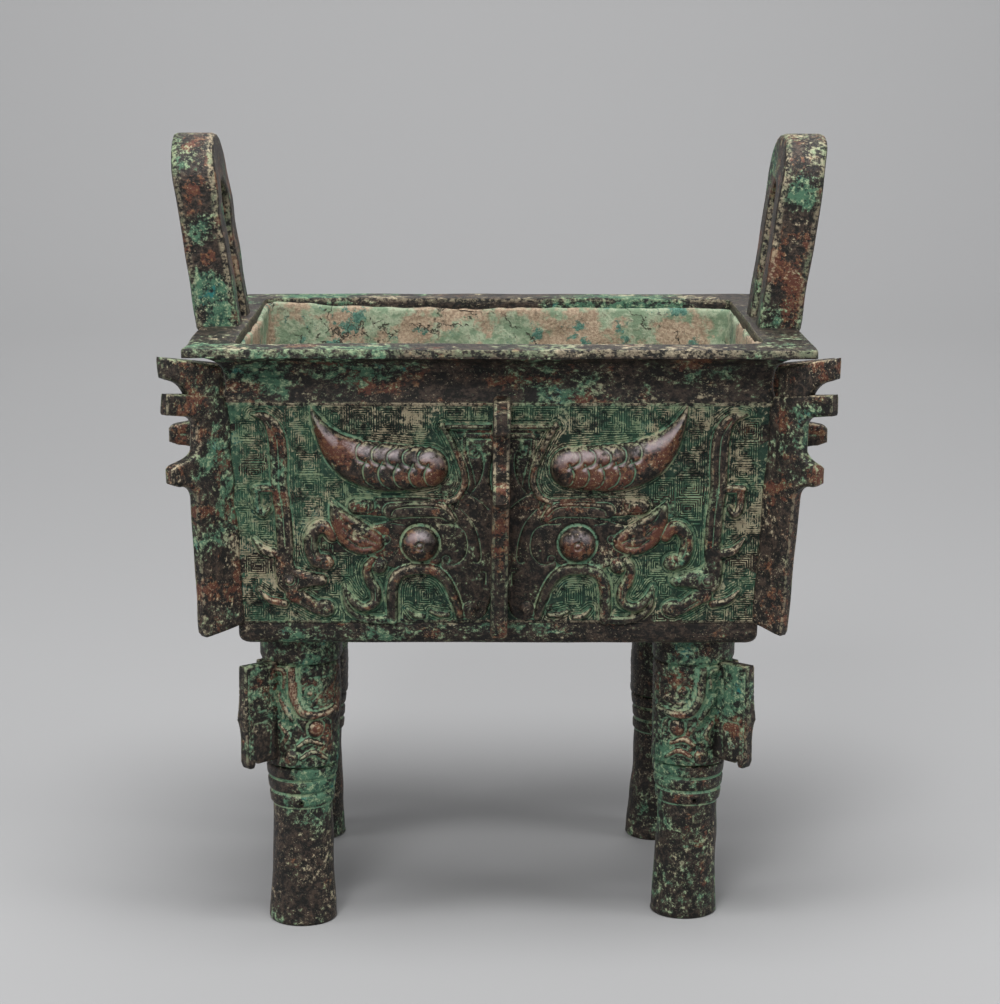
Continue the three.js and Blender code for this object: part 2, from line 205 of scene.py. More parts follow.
def blurred(field, reach):
    # mean over a square window, done once along each way and repeated
    kernel = np.ones(2 * reach + 1) / (2 * reach + 1)
    out = np.pad(field, reach, mode="edge")
    for axis in (0, 1):
        out = np.apply_along_axis(lambda row: np.convolve(row, kernel, mode="valid"), axis, out)
    return out


def makeMesh(name, points, faces, material, carving=None, rise=None, sharp=None):
    # points in millimetres; carving is -1 in a groove and 1 on an edge, rise goes by how far a form
    # stands out and is -1 on the ground under the threads; edges bent more than sharp degrees stay sharp
    mesh = bpy.data.meshes.new(name)
    mesh.from_pydata((np.asarray(points) * mm).tolist(), [], faces)
    count = len(mesh.vertices)
    for label, values in (("carving", carving), ("rise", rise)):
        layer = mesh.attributes.new(label, "FLOAT", "POINT")
        values = np.zeros(count) if values is None else values
        layer.data.foreach_set("value", np.asarray(values, np.float32))
    mesh.polygons.foreach_set("use_smooth", np.ones(len(mesh.polygons), bool))
    mesh.materials.append(material)
    mesh.update()
    if sharp is not None:
        mesh.set_sharp_from_angle(angle=sharp * degree)
    piece = bpy.data.objects.new(name, mesh)
    bpy.context.scene.collection.objects.link(piece)
    return piece


def gridFaces(rows, columns, closed=False):
    # quads over a grid of points, each row running anticlockwise about the way the rows advance
    r = np.arange(rows - 1)[:, None] * columns
    c = np.arange(columns if closed else columns - 1)[None, :]
    n = (c + 1) % columns
    quads = np.stack([r + c, r + n, r + n + columns, r + c + columns], axis=-1)
    return quads.reshape(-1, 4).tolist()


class Parts:
    # gathers meshes that make one piece
    def __init__(self):
        self.points, self.faces, self.carving, self.rise, self.count = [], [], [], [], 0

    def add(self, points, faces, carving, rise):
        self.points.append(points)
        self.faces += [[i + self.count for i in face] for face in faces]
        self.carving.append(carving)
        self.rise.append(rise)
        self.count += len(points)

    def piece(self, name, material, sharp):
        carving, rise = np.concatenate(self.carving), np.concatenate(self.rise)
        return makeMesh(name, np.vstack(self.points), self.faces, material, carving, rise, sharp)


def finish(piece, *nodes):
    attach(piece, "root")
    if nodes:
        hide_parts(*nodes)
    print("made", piece.name, len(piece.data.polygons), "faces")


# Shader groups

def newGroup(kind, name, inputs, outputs):
    tree = bpy.data.node_groups.new(name, kind)
    for label, kind, value in inputs:
        socket = tree.interface.new_socket(label, in_out="INPUT", socket_type=kind)
        if value is not None:
            socket.default_value = value
    for label, kind in outputs:
        tree.interface.new_socket(label, in_out="OUTPUT", socket_type=kind)
    return tree, tree.nodes.new("NodeGroupInput"), tree.nodes.new("NodeGroupOutput")


def feed(tree, socket, value):
    # a link where the value comes from a node, and otherwise a fixed value
    if isinstance(value, bpy.types.NodeSocket):
        tree.links.new(value, socket)
    elif socket.type == "RGBA":
        socket.default_value = (*value, 1)
    else:
        socket.default_value = value


def put(tree, kind, settings=None, **links):
    # a node, with settings on it and links or values on its inputs by name or number
    node = tree.nodes.new(kind)
    for key, value in (settings or {}).items():
        setattr(node, key, value)
    for key, value in links.items():
        numbered = key[0] == "i" and key[1:].isdigit()
        feed(tree, node.inputs[int(key[1:]) if numbered else key.replace("_", " ")], value)
    return node


def mathNode(tree, operation, a, b, clamp=False):
    return put(tree, "ShaderNodeMath", {"operation": operation, "use_clamp": clamp}, i0=a, i1=b).outputs[0]


def product(tree, first, *factors):
    for factor in factors:
        first = mathNode(tree, "MULTIPLY", first, factor)
    return first


def weighted(tree, total, *terms):
    # a start, and each value times its weight
    for value, weight in terms:
        node = put(tree, "ShaderNodeMath", {"operation": "MULTIPLY_ADD"}, i0=value, i1=weight, i2=total)
        total = node.outputs[0]
    return total


def vectorMath(tree, operation, *values):
    inputs = {f"i{number}": value for number, value in enumerate(values)}
    return put(tree, "ShaderNodeVectorMath", {"operation": operation}, **inputs)


def ramp(tree, value, low, high, bottom=0.0, top=1.0):
    # a smooth step from bottom at low to top at high
    smooth = {"interpolation_type": "SMOOTHSTEP"}
    node = put(tree, "ShaderNodeMapRange", smooth, i0=value, i1=low, i2=high, i3=bottom, i4=top)
    return node.outputs[0]


def noise(tree, at, scale, detail, roughness, output="Fac"):
    node = put(tree, "ShaderNodeTexNoise", Vector=at, Scale=scale, Detail=detail, Roughness=roughness)
    return node.outputs[output]


def blend(tree, factor, a, b):
    return put(tree, "ShaderNodeMix", {"data_type": "RGBA"}, i0=factor, i6=a, i7=b).outputs[2]


patina = {
    "black": (0.01, 0.0095, 0.0085),
    "shadow": (0.011, 0.03, 0.021),
    "brown": (0.06, 0.042, 0.032),
    "cuprite": (0.1, 0.036, 0.023),
    "ochre": (0.2, 0.1, 0.05),
    "darkGreen": (0.016, 0.052, 0.036),
    "malachite": (0.058, 0.138, 0.083),
    "paleGreen": (0.29, 0.37, 0.22),
    "lineGreen": (0.16, 0.3, 0.19),
    "teal": (0.012, 0.13, 0.12),
    "tan": (0.5, 0.43, 0.29),
    "paintedSheen": (0.36, 0.31, 0.32),
}


def patinaGroup():
    # colour, roughness, metal and height of corroded bronze, in object coordinates
    tree, given, made = newGroup(
        "ShaderNodeTree",
        "patina",
        [
            ("Coordinates", "NodeSocketVector", None),
            ("Upward", "NodeSocketFloat", 0.0),
            ("Carving", "NodeSocketFloat", 0.0),
            ("Rise", "NodeSocketFloat", 0.0),
            ("Green", "NodeSocketFloat", 0.0),
            ("Red", "NodeSocketFloat", 0.0),
            ("Dust", "NodeSocketFloat", 0.0),
        ],
        [
            ("Color", "NodeSocketColor"),
            ("Roughness", "NodeSocketFloat"),
            ("Metallic", "NodeSocketFloat"),
            ("Height", "NodeSocketFloat"),
        ],
    )
    at, upward = given.outputs["Coordinates"], given.outputs["Upward"]
    carving, rise = given.outputs["Carving"], given.outputs["Rise"]
    shifted = vectorMath(tree, "ADD", at, (3.1, 1.7, 5.3)).outputs[0]
    further = vectorMath(tree, "ADD", at, (7.7, 2.9, 1.4)).outputs[0]
    broad = noise(tree, at, 34, 6, 0.7)
    middle = noise(tree, shifted, 80, 6, 0.72)
    third = noise(tree, further, 110, 6, 0.7)
    small = noise(tree, further, 300, 5, 0.72)
    fine = noise(tree, at, 620, 4, 0.75)
    grain = noise(tree, shifted, 1500, 3, 0.7)
    ragged = weighted(tree, 0.0, (small, 0.5), (fine, 0.5))

    # the metal's own skin, near black to brown, with red cuprite on what stands out
    colour = blend(tree, ramp(tree, ragged, 0.44, 0.58), patina["black"], patina["brown"])
    red = weighted(tree, given.outputs["Red"], (middle, 1.0), (rise, 0.065), (ragged, 0.5))
    redTone = blend(tree, ramp(tree, fine, 0.5, 0.62), patina["cuprite"], patina["ochre"])
    colour = blend(tree, ramp(tree, red, 0.8, 0.86), colour, redTone)

    # malachite lies thickest in the hollows
    green = weighted(tree, given.outputs["Green"], (broad, 0.8), (ragged, 0.9))
    green = weighted(tree, green, (rise, -0.085), (carving, -0.05))
    greenMask = ramp(tree, green, 0.85, 0.93)
    tone = blend(tree, ramp(tree, small, 0.4, 0.56), patina["darkGreen"], patina["malachite"])
    tone = blend(tree, ramp(tree, fine, 0.52, 0.66), tone, patina["paleGreen"])
    tone = blend(tree, ramp(tree, third, 0.58, 0.64), tone, patina["teal"])
    colour = blend(tree, greenMask, colour, tone)

    # painted shade: the deep ground between raised threads is darkened, less where green is asked for
    shade = mathNode(tree, "SUBTRACT", 1.0, product(tree, given.outputs["Green"], 6.0), clamp=True)
    shade = product(tree, shade, ramp(tree, rise, -0.1, -0.8, 0, 0.86))
    colour = blend(tree, shade, colour, patina["shadow"])

    # pale corrosion in cut lines
    lines = product(tree, ramp(tree, carving, -0.25, -0.6), ramp(tree, fine, 0.34, 0.5), 0.85)
    lineTone = blend(tree, ramp(tree, third, 0.46, 0.56), patina["lineGreen"], patina["paleGreen"])
    colour = blend(tree, lines, colour, lineTone)

    # pale colour on thin edges, part earth and part painted highlight kept mostly to edges that face up;
    # earth as specks, and as a crust that the code makes a little heavier on faces that look up
    edgeEarthAndHighlight = product(tree, ramp(tree, carving, 0.25, 0.7), ramp(tree, fine, 0.44, 0.56))
    edgeEarthAndHighlight = product(tree, edgeEarthAndHighlight, ramp(tree, upward, -0.4, 0.45, 0.3, 1), 0.72)
    specks = product(tree, ramp(tree, grain, 0.6, 0.68), ramp(tree, middle, 0.44, 0.54), 0.75)
    raised = mathNode(tree, "MAXIMUM", rise, 0.0)
    crust = weighted(tree, given.outputs["Dust"], (third, 0.5), (fine, 0.5))
    crust = weighted(tree, crust, (upward, 0.04), (raised, -0.03))
    crust = product(tree, ramp(tree, crust, 0.56, 0.63), 0.8)
    dustAndHighlight = mathNode(tree, "MAXIMUM", mathNode(tree, "MAXIMUM", edgeEarthAndHighlight, specks), crust)
    dustAndHighlightTone = blend(tree, ramp(tree, broad, 0.44, 0.56), patina["tan"], patina["paleGreen"])
    colour = blend(tree, dustAndHighlight, colour, dustAndHighlightTone)

    # painted grey sheen on raised forms that face up, standing in for the top light's highlight; there they
    # are also rubbed smoother, which lowers the roughness
    rubbedAndPaintedSheen = product(tree, ramp(tree, rise, 0.9, 1.7), ramp(tree, middle, 0.42, 0.54))
    rubbedAndPaintedSheen = product(tree, rubbedAndPaintedSheen, ramp(tree, upward, -0.1, 0.5), mathNode(tree, "SUBTRACT", 1.0, greenMask))
    colour = blend(tree, product(tree, rubbedAndPaintedSheen, 0.7), colour, patina["paintedSheen"])

    rough = weighted(tree, 0.46, (greenMask, 0.26), (rubbedAndPaintedSheen, -0.14), (dustAndHighlight, 0.2))
    bare = mathNode(tree, "SUBTRACT", 1.0, mathNode(tree, "MAXIMUM", greenMask, dustAndHighlight))
    metal = product(tree, bare, 0.3)
    height = weighted(tree, 0.0, (small, 1.3), (fine, 1.0), (grain, 0.4))
    for label, value in (("Color", colour), ("Roughness", rough), ("Metallic", metal), ("Height", height)):
        tree.links.new(value, made.inputs[label])
    return tree


patinaTree = patinaGroup()


def nearPlace(tree, coordinates, place, radius):
    # 1 at a place on the vessel, falling to 0 a radius away
    gap = vectorMath(tree, "DISTANCE", coordinates, Vector(place) * mm)
    return ramp(tree, gap.outputs["Value"], radius * mm, radius * mm * 0.2)


def newMaterial(name):
    material = bpy.data.materials.new(name)
    material.use_nodes = True
    tree = material.node_tree
    return material, tree, tree.nodes["Principled BSDF"], put(tree, "ShaderNodeTexCoord").outputs["Object"]


def bronzeMaterial(name, base, spots, stretch=(1, 1, 1)):
    # base and each spot's third item give Green, Red and Dust; a spot is a patch seen in the photograph
    material, tree, shader, at = newMaterial(name)
    stretched = vectorMath(tree, "MULTIPLY", at, stretch).outputs[0]
    group = put(tree, "ShaderNodeGroup", {"node_tree": patinaTree}, Coordinates=stretched)
    normal = put(tree, "ShaderNodeSeparateXYZ", i0=put(tree, "ShaderNodeNewGeometry").outputs["Normal"])
    feed(tree, group.inputs["Upward"], normal.outputs["Z"])
    for label in ("carving", "rise"):
        layer = put(tree, "ShaderNodeAttribute", {"attribute_name": label})
        feed(tree, group.inputs[label.capitalize()], layer.outputs["Fac"])
    for column, label in enumerate(("Green", "Red", "Dust")):
        felt = [spot for spot in spots if spot[2][column]]
        terms = [(nearPlace(tree, at, place, radius), more[column]) for place, radius, more in felt]
        feed(tree, group.inputs[label], weighted(tree, base[column], *terms))
    bump = put(tree, "ShaderNodeBump", Strength=0.8, Distance=0.00045, Height=group.outputs["Height"])
    feed(tree, shader.inputs["Base Color"], group.outputs["Color"])
    feed(tree, shader.inputs["Roughness"], group.outputs["Roughness"])
    feed(tree, shader.inputs["Metallic"], group.outputs["Metallic"])
    feed(tree, shader.inputs["Normal"], bump.outputs["Normal"])
    shader.inputs["Specular IOR Level"].default_value = 0.32
    return material


# Relief on the four sides
# A row is (from the middle line, above the panel's foot, half width).

relief = {
    "spacing": (0.52, 0.52, 0.52, 0.385),    # of the grid on the right, back, left and front
    "proud": 0.15,    # the panel's ground stands this far off the wall behind it
    "sink": 1.6,    # and its back this far inside the wall
    "figureGap": 0.6,    # from a raised form to the first thread round it
    "rounds": 12,
    "groundLine": 0.74,    # pitch of the spiral ground's threads
    "threadWidth": 0.48,
    "threadHeight": 0.4,
    "face": 1.0,    # rise of the low field of the face
    "squeeze": (panelHalf[1] - vessel["bodyTaper"]) / (panelHalf[0] - vessel["bodyTaper"]),
}

# the low field of the face that the figures stand on
faceField = [
    [(6.5, 62, 5.5), (7.5, 50, 4.5), (7.5, 40, 6), (7, 28, 6.5), (7.5, 14, 6), (8.5, 6, 5)],
    [(14, 33, 6), (26, 28, 9.5), (38, 27, 7)],
    [(18, 39, 3.6), (47, 40, 2.8)],
    [(12, 10, 5), (14, 20, 5)],
]

# one half of the mask with the dragon beside it: (rise, rounding of the edge, rows)
maskForms = {
    "horn": (5.4, 5.2, [
        (23.4, 53.2, 6.9), (31, 53.0, 7.7), (39.5, 53.5, 8), (47.8, 55.9, 7),
        (53.6, 60.1, 4.9), (57.5, 65.3, 2.9), (59.9, 69.8, 1.5), (61.3, 73.4, 0.4),
    ]),
    "foreheadBand": (2.0, 0.7, [
        (18.4, 67.4, 1), (15.7, 62.3, 1.1), (13.5, 57.6, 1.2), (11.6, 52.2, 1.2),
        (11.2, 47.4, 1.2), (13.5, 43.1, 1.1), (17, 41.3, 0.9),
    ]),
    "foreheadTop": (1.8, 0.6, [(19, 66.8, 0.8), (3, 66.8, 0.8)]),
    "browBlock": (2.1, 0.8, [(47.3, 40.2, 2.3), (43, 40.3, 2.3)]),
    "brow": (2.2, 0.9, [(35.5, 38.6, 2.7), (27, 39.2, 2.7), (19, 38.8, 2.5), (15.2, 35.8, 1.4)]),
    "ear": (3.1, 1.8, [
        (55.1, 41.9, 0.4), (52.9, 37, 2.8), (49.2, 31.8, 5), (44.8, 28.8, 5.2), (40.6, 28, 3.2),
    ]),
    "fang": (2.7, 1.3, [
        (41.6, 21.8, 1.4), (43.4, 19, 1.7), (42.8, 15.1, 1.9), (40.8, 11.4, 1.9),
        (41.1, 7.4, 1.7), (45, 5.6, 1.5), (48.8, 8.3, 1.4), (50.9, 13, 0.6),
    ]),
    "lip": (2.0, 1.0, [
        (51.4, 12, 0.6), (49.9, 5.6, 1.1), (45.6, 2.0, 1.3), (39.7, 1.1, 1.5), (35.5, 1.6, 1.6),
    ]),
    "jaw": (2.7, 1.5, [
        (35.2, 1.4, 1.9), (35.1, 12, 2), (33.3, 16.8, 2), (29.5, 18.6, 2), (23, 18.7, 2),
        (18.6, 16.3, 1.9), (15.6, 11.5, 1.8), (13.4, 5.4, 1.7), (12.8, 2.5, 1.4),
    ]),
    "frontTooth": (1.7, 0.8, [(22.5, 4, 0.7), (19.5, 3, 1), (16.8, 3, 0.8)]),
    "backTooth": (1.7, 0.8, [(30.4, 5, 0.4), (27.8, 2.6, 0.9), (25, 2.2, 0.9)]),
    "curl": (3.0, 1.7, [
        (54.8, 30.2, 2.1), (56.7, 32.6, 2.3), (59.4, 32.8, 2.4), (61.6, 30.2, 2.4),
        (61.9, 26, 2.4), (60.4, 22.2, 2.5), (57, 21, 2.7),
    ]),
    "dragonBack": (2.3, 1.0, [
        (80.6, 70.9, 0.4), (76.5, 70, 1.6), (73.4, 66, 2.6), (72.2, 60, 3), (72, 52, 2.9),
        (72, 46.7, 2.8), (71, 38.2, 2.8), (70.4, 26.1, 2.8), (70.8, 20, 3.2), (69.5, 15.5, 4),
    ]),
    "dragonClaw": (2.4, 1.0, [(80, 46, 1.3), (73, 46.1, 1.3)]),
    "dragonHook": (2.4, 1.0, [(79.4, 45.4, 1.4), (79.2, 40, 1.4), (77.4, 37.4, 1.2), (75.6, 39.2, 0.8)]),
    "dragonSpur": (2.4, 1.0, [(80.8, 29, 0.4), (77.4, 25.1, 1.5), (72.6, 23.9, 1.6)]),
    "dragonHead": (2.6, 1.3, [(69.1, 15.1, 4.4), (63.8, 15.1, 2.8), (58.8, 15, 2)]),
    "dragonLip": (2.5, 1.4, [(68, 10, 2.6), (65.6, 8.9, 2.6), (61, 5.9, 2.4), (57.6, 5.2, 3.1)]),
    "dragonTail": (2.0, 0.9, [(79.4, 11.4, 0.5), (75.7, 8, 1.2), (71, 6.8, 1.3)]),
}

maskBosses = [
    # centre, radius, rise
    ((25.9, 27.4), 6.2, 5.2),
    ((39.5, 20), 2.9, 3.1),
    ((9.4, 4.9), 2.9, 2.6),
    ((58.6, 14.9), 2.1, 3.1),
    ((69.1, 15.1), 2, 3.6),
    ((56.8, 5.2), 2.7, 3.1),
]

maskRings = [
    # centre, radius of a cut ring
    ((25.9, 27.4), 6.7),
    ((25.9, 27.4), 1.1),
    ((39.5, 20), 1.6),
    ((9.4, 4.9), 1.6),
    ((8.2, 58.5), 2.2),
    ((46.2, 32.4), 1.7),
    ((69.1, 15.1), 2.9),
    ((37.2, 28.8), 1.4),
    ((17.4, 22), 1.3),
]

maskCurls = [
    # centre, radius, turns, starting angle of a cut curl
    ((39.5, 20.2), 2.1, 1.5, 0),
    ((9.4, 4.9), 2.0, 1.5, 2),
    ((8.2, 58.5), 1.7, 1.2, 1),
    ((46.4, 32), 2.3, 1.4, 3),
    ((69.1, 15.1), 2.6, 1.5, 0),
    ((56.8, 5.2), 1.9, 1.4, 2),
    ((57.2, 21.4), 1.7, 1.3, 4),
    ((72.2, 66), 1.4, 1.2, 1),
]

# lines cut into the mask: (from the middle line, above the panel's foot)
maskLines = [
    [(18.2, 68.8), (14.4, 61.4), (12.2, 54.6)],
    [(15.6, 64.4), (13.2, 60), (11.6, 56)],
    [(51.6, 36.2), (47.6, 33.6), (43.8, 33.8)],
    [(51.2, 33.2), (47, 29.6), (42.6, 29.8)],
    [(49.6, 29.4), (45.6, 26.6), (41.8, 26.8)],
    [(6.1, 59), (5.2, 57.2), (5, 52.8), (6.5, 48), (9.6, 43.7)],
    [(17, 64.6), (3, 64.6)],
    [(16, 62.6), (3, 62.6)],
    [(10.6, 62.4), (10, 57), (8.6, 52), (7.6, 47)],
    [(20.3, 34), (14.1, 33.4), (10.9, 30.4), (10.6, 24.3), (13.5, 20.6), (17.1, 20.4), (18.8, 22.3)],
    [(14.1, 40.7), (8.8, 34.7), (6.5, 28.6), (5.9, 22.5), (7, 20.7), (8.5, 21)],
    [(12, 45.5), (6, 41.5), (3.4, 39)],
    [(31.5, 33.6), (36, 34.3), (41, 34.2)],
    [(5.3, 17.8), (4.2, 17), (4.3, 13.6)],
    [(53.3, 39.2), (48.9, 32.6), (40.6, 28.1)],
    [(35.4, 37), (33.8, 39.3), (27, 40.1), (19.5, 39.7), (16, 36.8)],
    [(46.8, 41.4), (43.2, 41.4), (43.2, 39), (46.8, 39)],
    [(42.6, 16), (40.9, 12.5), (40.8, 8.4)],
    [(75.6, 68.8), (72.7, 63.5), (72, 56), (72, 47), (71, 38), (70.4, 27)],
    [(67.8, 18.6), (64, 17), (60, 16.6)],
    [(66, 12.5), (63, 12.6), (60.5, 13.2)],
    [(66, 8), (61.5, 5.2)],
    [(78.6, 46), (73.6, 46)],
    [(79.2, 44.4), (79.2, 40.2)],
    [(61.4, 29.8), (61.6, 26), (60.4, 22.8)],
]


hornScale = {
    "first": 24.5,
    "pitch": 5.0,
    "count": 5,
    "top": 60.4,
    "middle": 53.8,
    "foot": 45.8,
    "bow": 2.4,
}


def hornScales():
    # two rows of overlapping scales: bowed lines, the lower row set half a step on
    bow = hornScale["bow"]
    lines = []
    for i in range(hornScale["count"]):
        u = hornScale["first"] + i * hornScale["pitch"]
        v = u - hornScale["pitch"] / 2
        drop = max(0, i - 2) * 1.1
        top = hornScale["top"] + drop
        middle = hornScale["middle"] + drop * 0.7
        foot = hornScale["foot"] + drop * 0.5
        upper = [(u - 1.4, top), (u + bow * 0.7, top - 2), (u + bow * 0.6, middle + 1.6)]
        upper.append((u - 1.8, middle))
        lower = [(v + 1, middle + 1.2), (v + bow, middle - 2.2), (v + bow * 0.6, foot + 2.4)]
        lower.append((v - 1.2, foot))
        lines += [upper, lower]
    return lines


def reliefHeight(u, w, squeeze):
    # height of the carving over the panel's ground, u being measured from the middle line
    def drawn(rows):
        return [(row[0] * squeeze, *row[1:]) for row in rows]

    forms = [(relief["face"], 0.6, drawn(rows)) for rows in faceField]
    forms += [(rise, rounding, drawn(rows)) for rise, rounding, rows in maskForms.values()]
    bosses = [((a * squeeze, b), radius, rise) for (a, b), radius, rise in maskBosses]
    cuts = [(0.36, 0.5, drawn(rows)) for rows in maskLines]
    cuts += [(0.45, 0.9, drawn(rows)) for rows in hornScales()]
    cuts += [(0.34, 0.45, drawn(spiral(*curl))) for curl in maskCurls]
    rings = [(0.36, 0.5, (a * squeeze, b), radius) for (a, b), radius in maskRings]
    height, cut = carved(u, w, forms, bosses, cuts, rings)
    return height - cut


def panelPlace(quarter, u, z, lift):
    # world places of points on a side, lift being measured square to the sloping panel
    turn = quarter * 90 * degree
    face = panelHalf[quarter % 2]
    lean = math.atan(vessel["bodyTaper"] / panelHeight)
    out = face - inset(z) + lift * math.cos(lean)
    x = math.cos(turn) * out - math.sin(turn) * u
    y = math.sin(turn) * out + math.cos(turn) * u
    return np.stack([x, y, z - lift * math.sin(lean)], axis=-1)


def panelRumple(quarter, u, z):
    # the panel and the threads on it share one unevenness
    flat = panelPlace(quarter, u, z, 0 * u).reshape(-1, 3)
    return 0.12 * rumple(flat, 14, quarter + 3).reshape(u.shape)


def reliefPanel(quarter, name, material):
    half = panelHalf[1 - quarter % 2]
    squeeze = relief["squeeze"] if quarter % 2 == 0 else 1.0
    spacing = relief["spacing"][quarter]
    rows = round(panelHeight / spacing) + 1
    columns = round(2 * half / spacing) + 1
    z = np.linspace(bandTop, panelTop, rows)[:, None] * np.ones((1, columns))
    u = np.linspace(-1, 1, columns)[None, :] * (half - inset(z))
    w = z - bandTop
    height = reliefHeight(np.abs(u), w, squeeze)
    soft = blurred(height, round(0.9 / spacing))
    carving = np.clip((height - soft) / 0.5, -1, 1)
    rise = np.where(height > 0.3, np.clip(height / 2.6, 0, 2), -1)
    border = np.minimum(panelHeight - w, np.minimum(w, half - inset(z) - np.abs(u)))
    # the panel's edges take the pale edge colour, in part a painted highlight along the bevel that catches
    # the light
    carving = np.where(border < 0.8, 0.9, carving)
    rise = np.where(border < 0.8, 0.2, rise)
    uneven = panelRumple(quarter, u, z)
    front = panelPlace(quarter, u, z, height + relief["proud"] + uneven).reshape(-1, 3)
    faces = gridFaces(rows, columns)
    # the edge turns back into the wall and the back is one flat face
    edge = [
        *range(columns),
        *range(2 * columns - 1, rows * columns, columns),
        *range(rows * columns - 2, (rows - 1) * columns - 1, -1),
        *range((rows - 2) * columns, 0, -columns),
    ]
    back = panelPlace(quarter, u, z, 0 * u - relief["sink"]).reshape(-1, 3)[edge]
    first = len(front)
    n = len(edge)
    for i in range(n):
        j = (i + 1) % n
        faces.append([edge[i], first + i, first + j, edge[j]])
    faces.append(list(range(first + n - 1, first - 1, -1)))
    pad = np.zeros(n)
    return makeMesh(
        name,
        np.vstack([front, back]),
        faces,
        material,
        np.concatenate([carving.ravel(), pad]),
        np.concatenate([rise.ravel(), pad]),
    )


# Spiral ground: raised threads that wind inwards in squares between the figures
# A cell is (from the middle line, above the foot, width, height).

groundCells = [
    (27.2, 69.2, 8.6, 9.4), (36.0, 69.2, 8.6, 9.4), (44.8, 69.2, 8.6, 9.4), (53.4, 69.4, 8.2, 9.2),
    (66.4, 70.3, 6.6, 7.4), (64.4, 62.2, 6.6, 7.6), (62.9, 54.4, 8.0, 7.2), (62.4, 46.9, 8.6, 7.2),
    (62.2, 39.2, 8.6, 7.6), (53.6, 45.6, 8.2, 8.0), (57.6, 26.2, 5.6, 5.8), (52.2, 20.2, 7.4, 7.6),
    (82.4, 65.8, 6.8, 7.2), (80.2, 58.4, 8.4, 7.0), (80.4, 51.2, 8.2, 6.6), (84.2, 43.6, 5.4, 7.6),
    (83.9, 35.8, 5.6, 7.4), (77.4, 32.4, 6.6, 6.4), (84, 27.6, 5.2, 8.0), (79.4, 19.4, 8.6, 7.4),
    (82.6, 12.2, 6.4, 6.2), (80.6, 4.6, 9.0, 7.4), (14.6, 71.2, 9.4, 5.4), (6.3, 71.2, 6.4, 5.4),
    (72.4, 3.2, 6.6, 4.6), (54.4, 12.2, 5.2, 6.6), (64.6, 34.8, 4.6, 1.4), (53.4, 3.2, 4.2, 4.8),
    (24.8, 9.8, 5.4, 6.4),
]


def squareSpiral(u, w, width, height, pitch, flip):
    # one thread from the outside in, in short steps
    left, right, low, high = u - width / 2, u + width / 2, w - height / 2, w + height / 2
    corners = [(left, low)]
    while right - left > pitch * 0.6 and high - low > pitch * 0.6:
        corners += [(left, high), (right, high), (right, low), (left + pitch, low)]
        left, right, low, high = left + pitch, right - pitch, low + pitch, high - pitch
    if flip:
        corners = [(2 * u - a, b) for a, b in corners]
    steps = []
    for a, b in zip(corners[:-1], corners[1:]):
        count = max(1, round(math.dist(a, b) / 0.5))
        steps.append(np.linspace(a, b, count, endpoint=False))
    return np.vstack([*steps, corners[-1:]])


def aroundStroke(rows, gap):
    # the line a fixed distance outside a stroke
    path = smoothPath(rows)
    along = np.gradient(path[:, :2], axis=0)
    along /= np.linalg.norm(along, axis=1)[:, None]
    across = np.column_stack([-along[:, 1], along[:, 0]])
    reach = (path[:, 2] + gap)[:, None]
    left, right = path[:, :2] + across * reach, path[:, :2] - across * reach
    caps = []
    for end, way in ((-1, 1), (0, -1)):
        turn = math.atan2(way * across[end, 1], way * across[end, 0]) - math.pi * np.arange(1, 8) / 8
        caps.append(path[end, :2] + reach[end] * np.column_stack([np.cos(turn), np.sin(turn)]))
    return np.vstack([left, caps[0], right[::-1], caps[1], left[:1]])


def runs(points, keep):
    # the stretches of a line that may be seen, without needless points on their straights
    found, row = [], []
    for point, seen in zip([*points, points[-1]], [*keep, False]):
        if seen:
            row.append(point)
            continue
        if len(row) > 3:
            slim = [row[0]]
            for before, here, after in zip(row[:-2], row[1:-1], row[2:]):
                (a, b), (c, d) = here - before, after - here
                if abs(a * d - b * c) > 1e-4:
                    slim.append(here)
            found.append([*slim, row[-1]])
        row = []
    return found


def groundThreads(squeeze, half):
    # a thread round each raised form, spirals in the open squares, and more rounds in what is left
    pitch, first = relief["groundLine"], relief["figureGap"]
    strokes = [rows for rise, rounding, rows in maskForms.values()] + faceField
    strokes += [[(a, b, radius), (a + 0.1, b, radius)] for (a, b), radius, rise in maskBosses]
    strokes = [[(a * squeeze, b, c) for a, b, c in rows] for rows in strokes]
    paths = [smoothPath(rows) for rows in strokes]
    cells = [(u * squeeze, w, width * squeeze, height) for u, w, width, height in groundCells]

    def clearance(points):
        return np.min([strokeDistance(points[:, 0], points[:, 1], path) for path in paths], axis=0)

    def onPanel(points):
        u, w = points.T
        return (u > 3.4) & (u < half - inset(w + bandTop) - 0.7) & (w > 0.8) & (w < panelHeight - 0.8)

    lines = []
    for i, cell in enumerate(cells):
        points = squareSpiral(*cell, pitch, i % 2 == 0)
        lines += runs(points, (clearance(points) > first + pitch * 0.8) & onPanel(points))
    for rounds in range(relief["rounds"]):
        gap = first + rounds * pitch
        for rows in strokes:
            points = aroundStroke(rows, gap)
            keep = (clearance(points) > gap - 0.2) & onPanel(points)
            if rounds:
                for u, w, width, height in cells:
                    aside, above = np.abs(points[:, 0] - u), np.abs(points[:, 1] - w)
                    keep &= np.maximum(aside - width / 2, above - height / 2) > pitch * 0.75
            lines += runs(points, keep)
    return lines


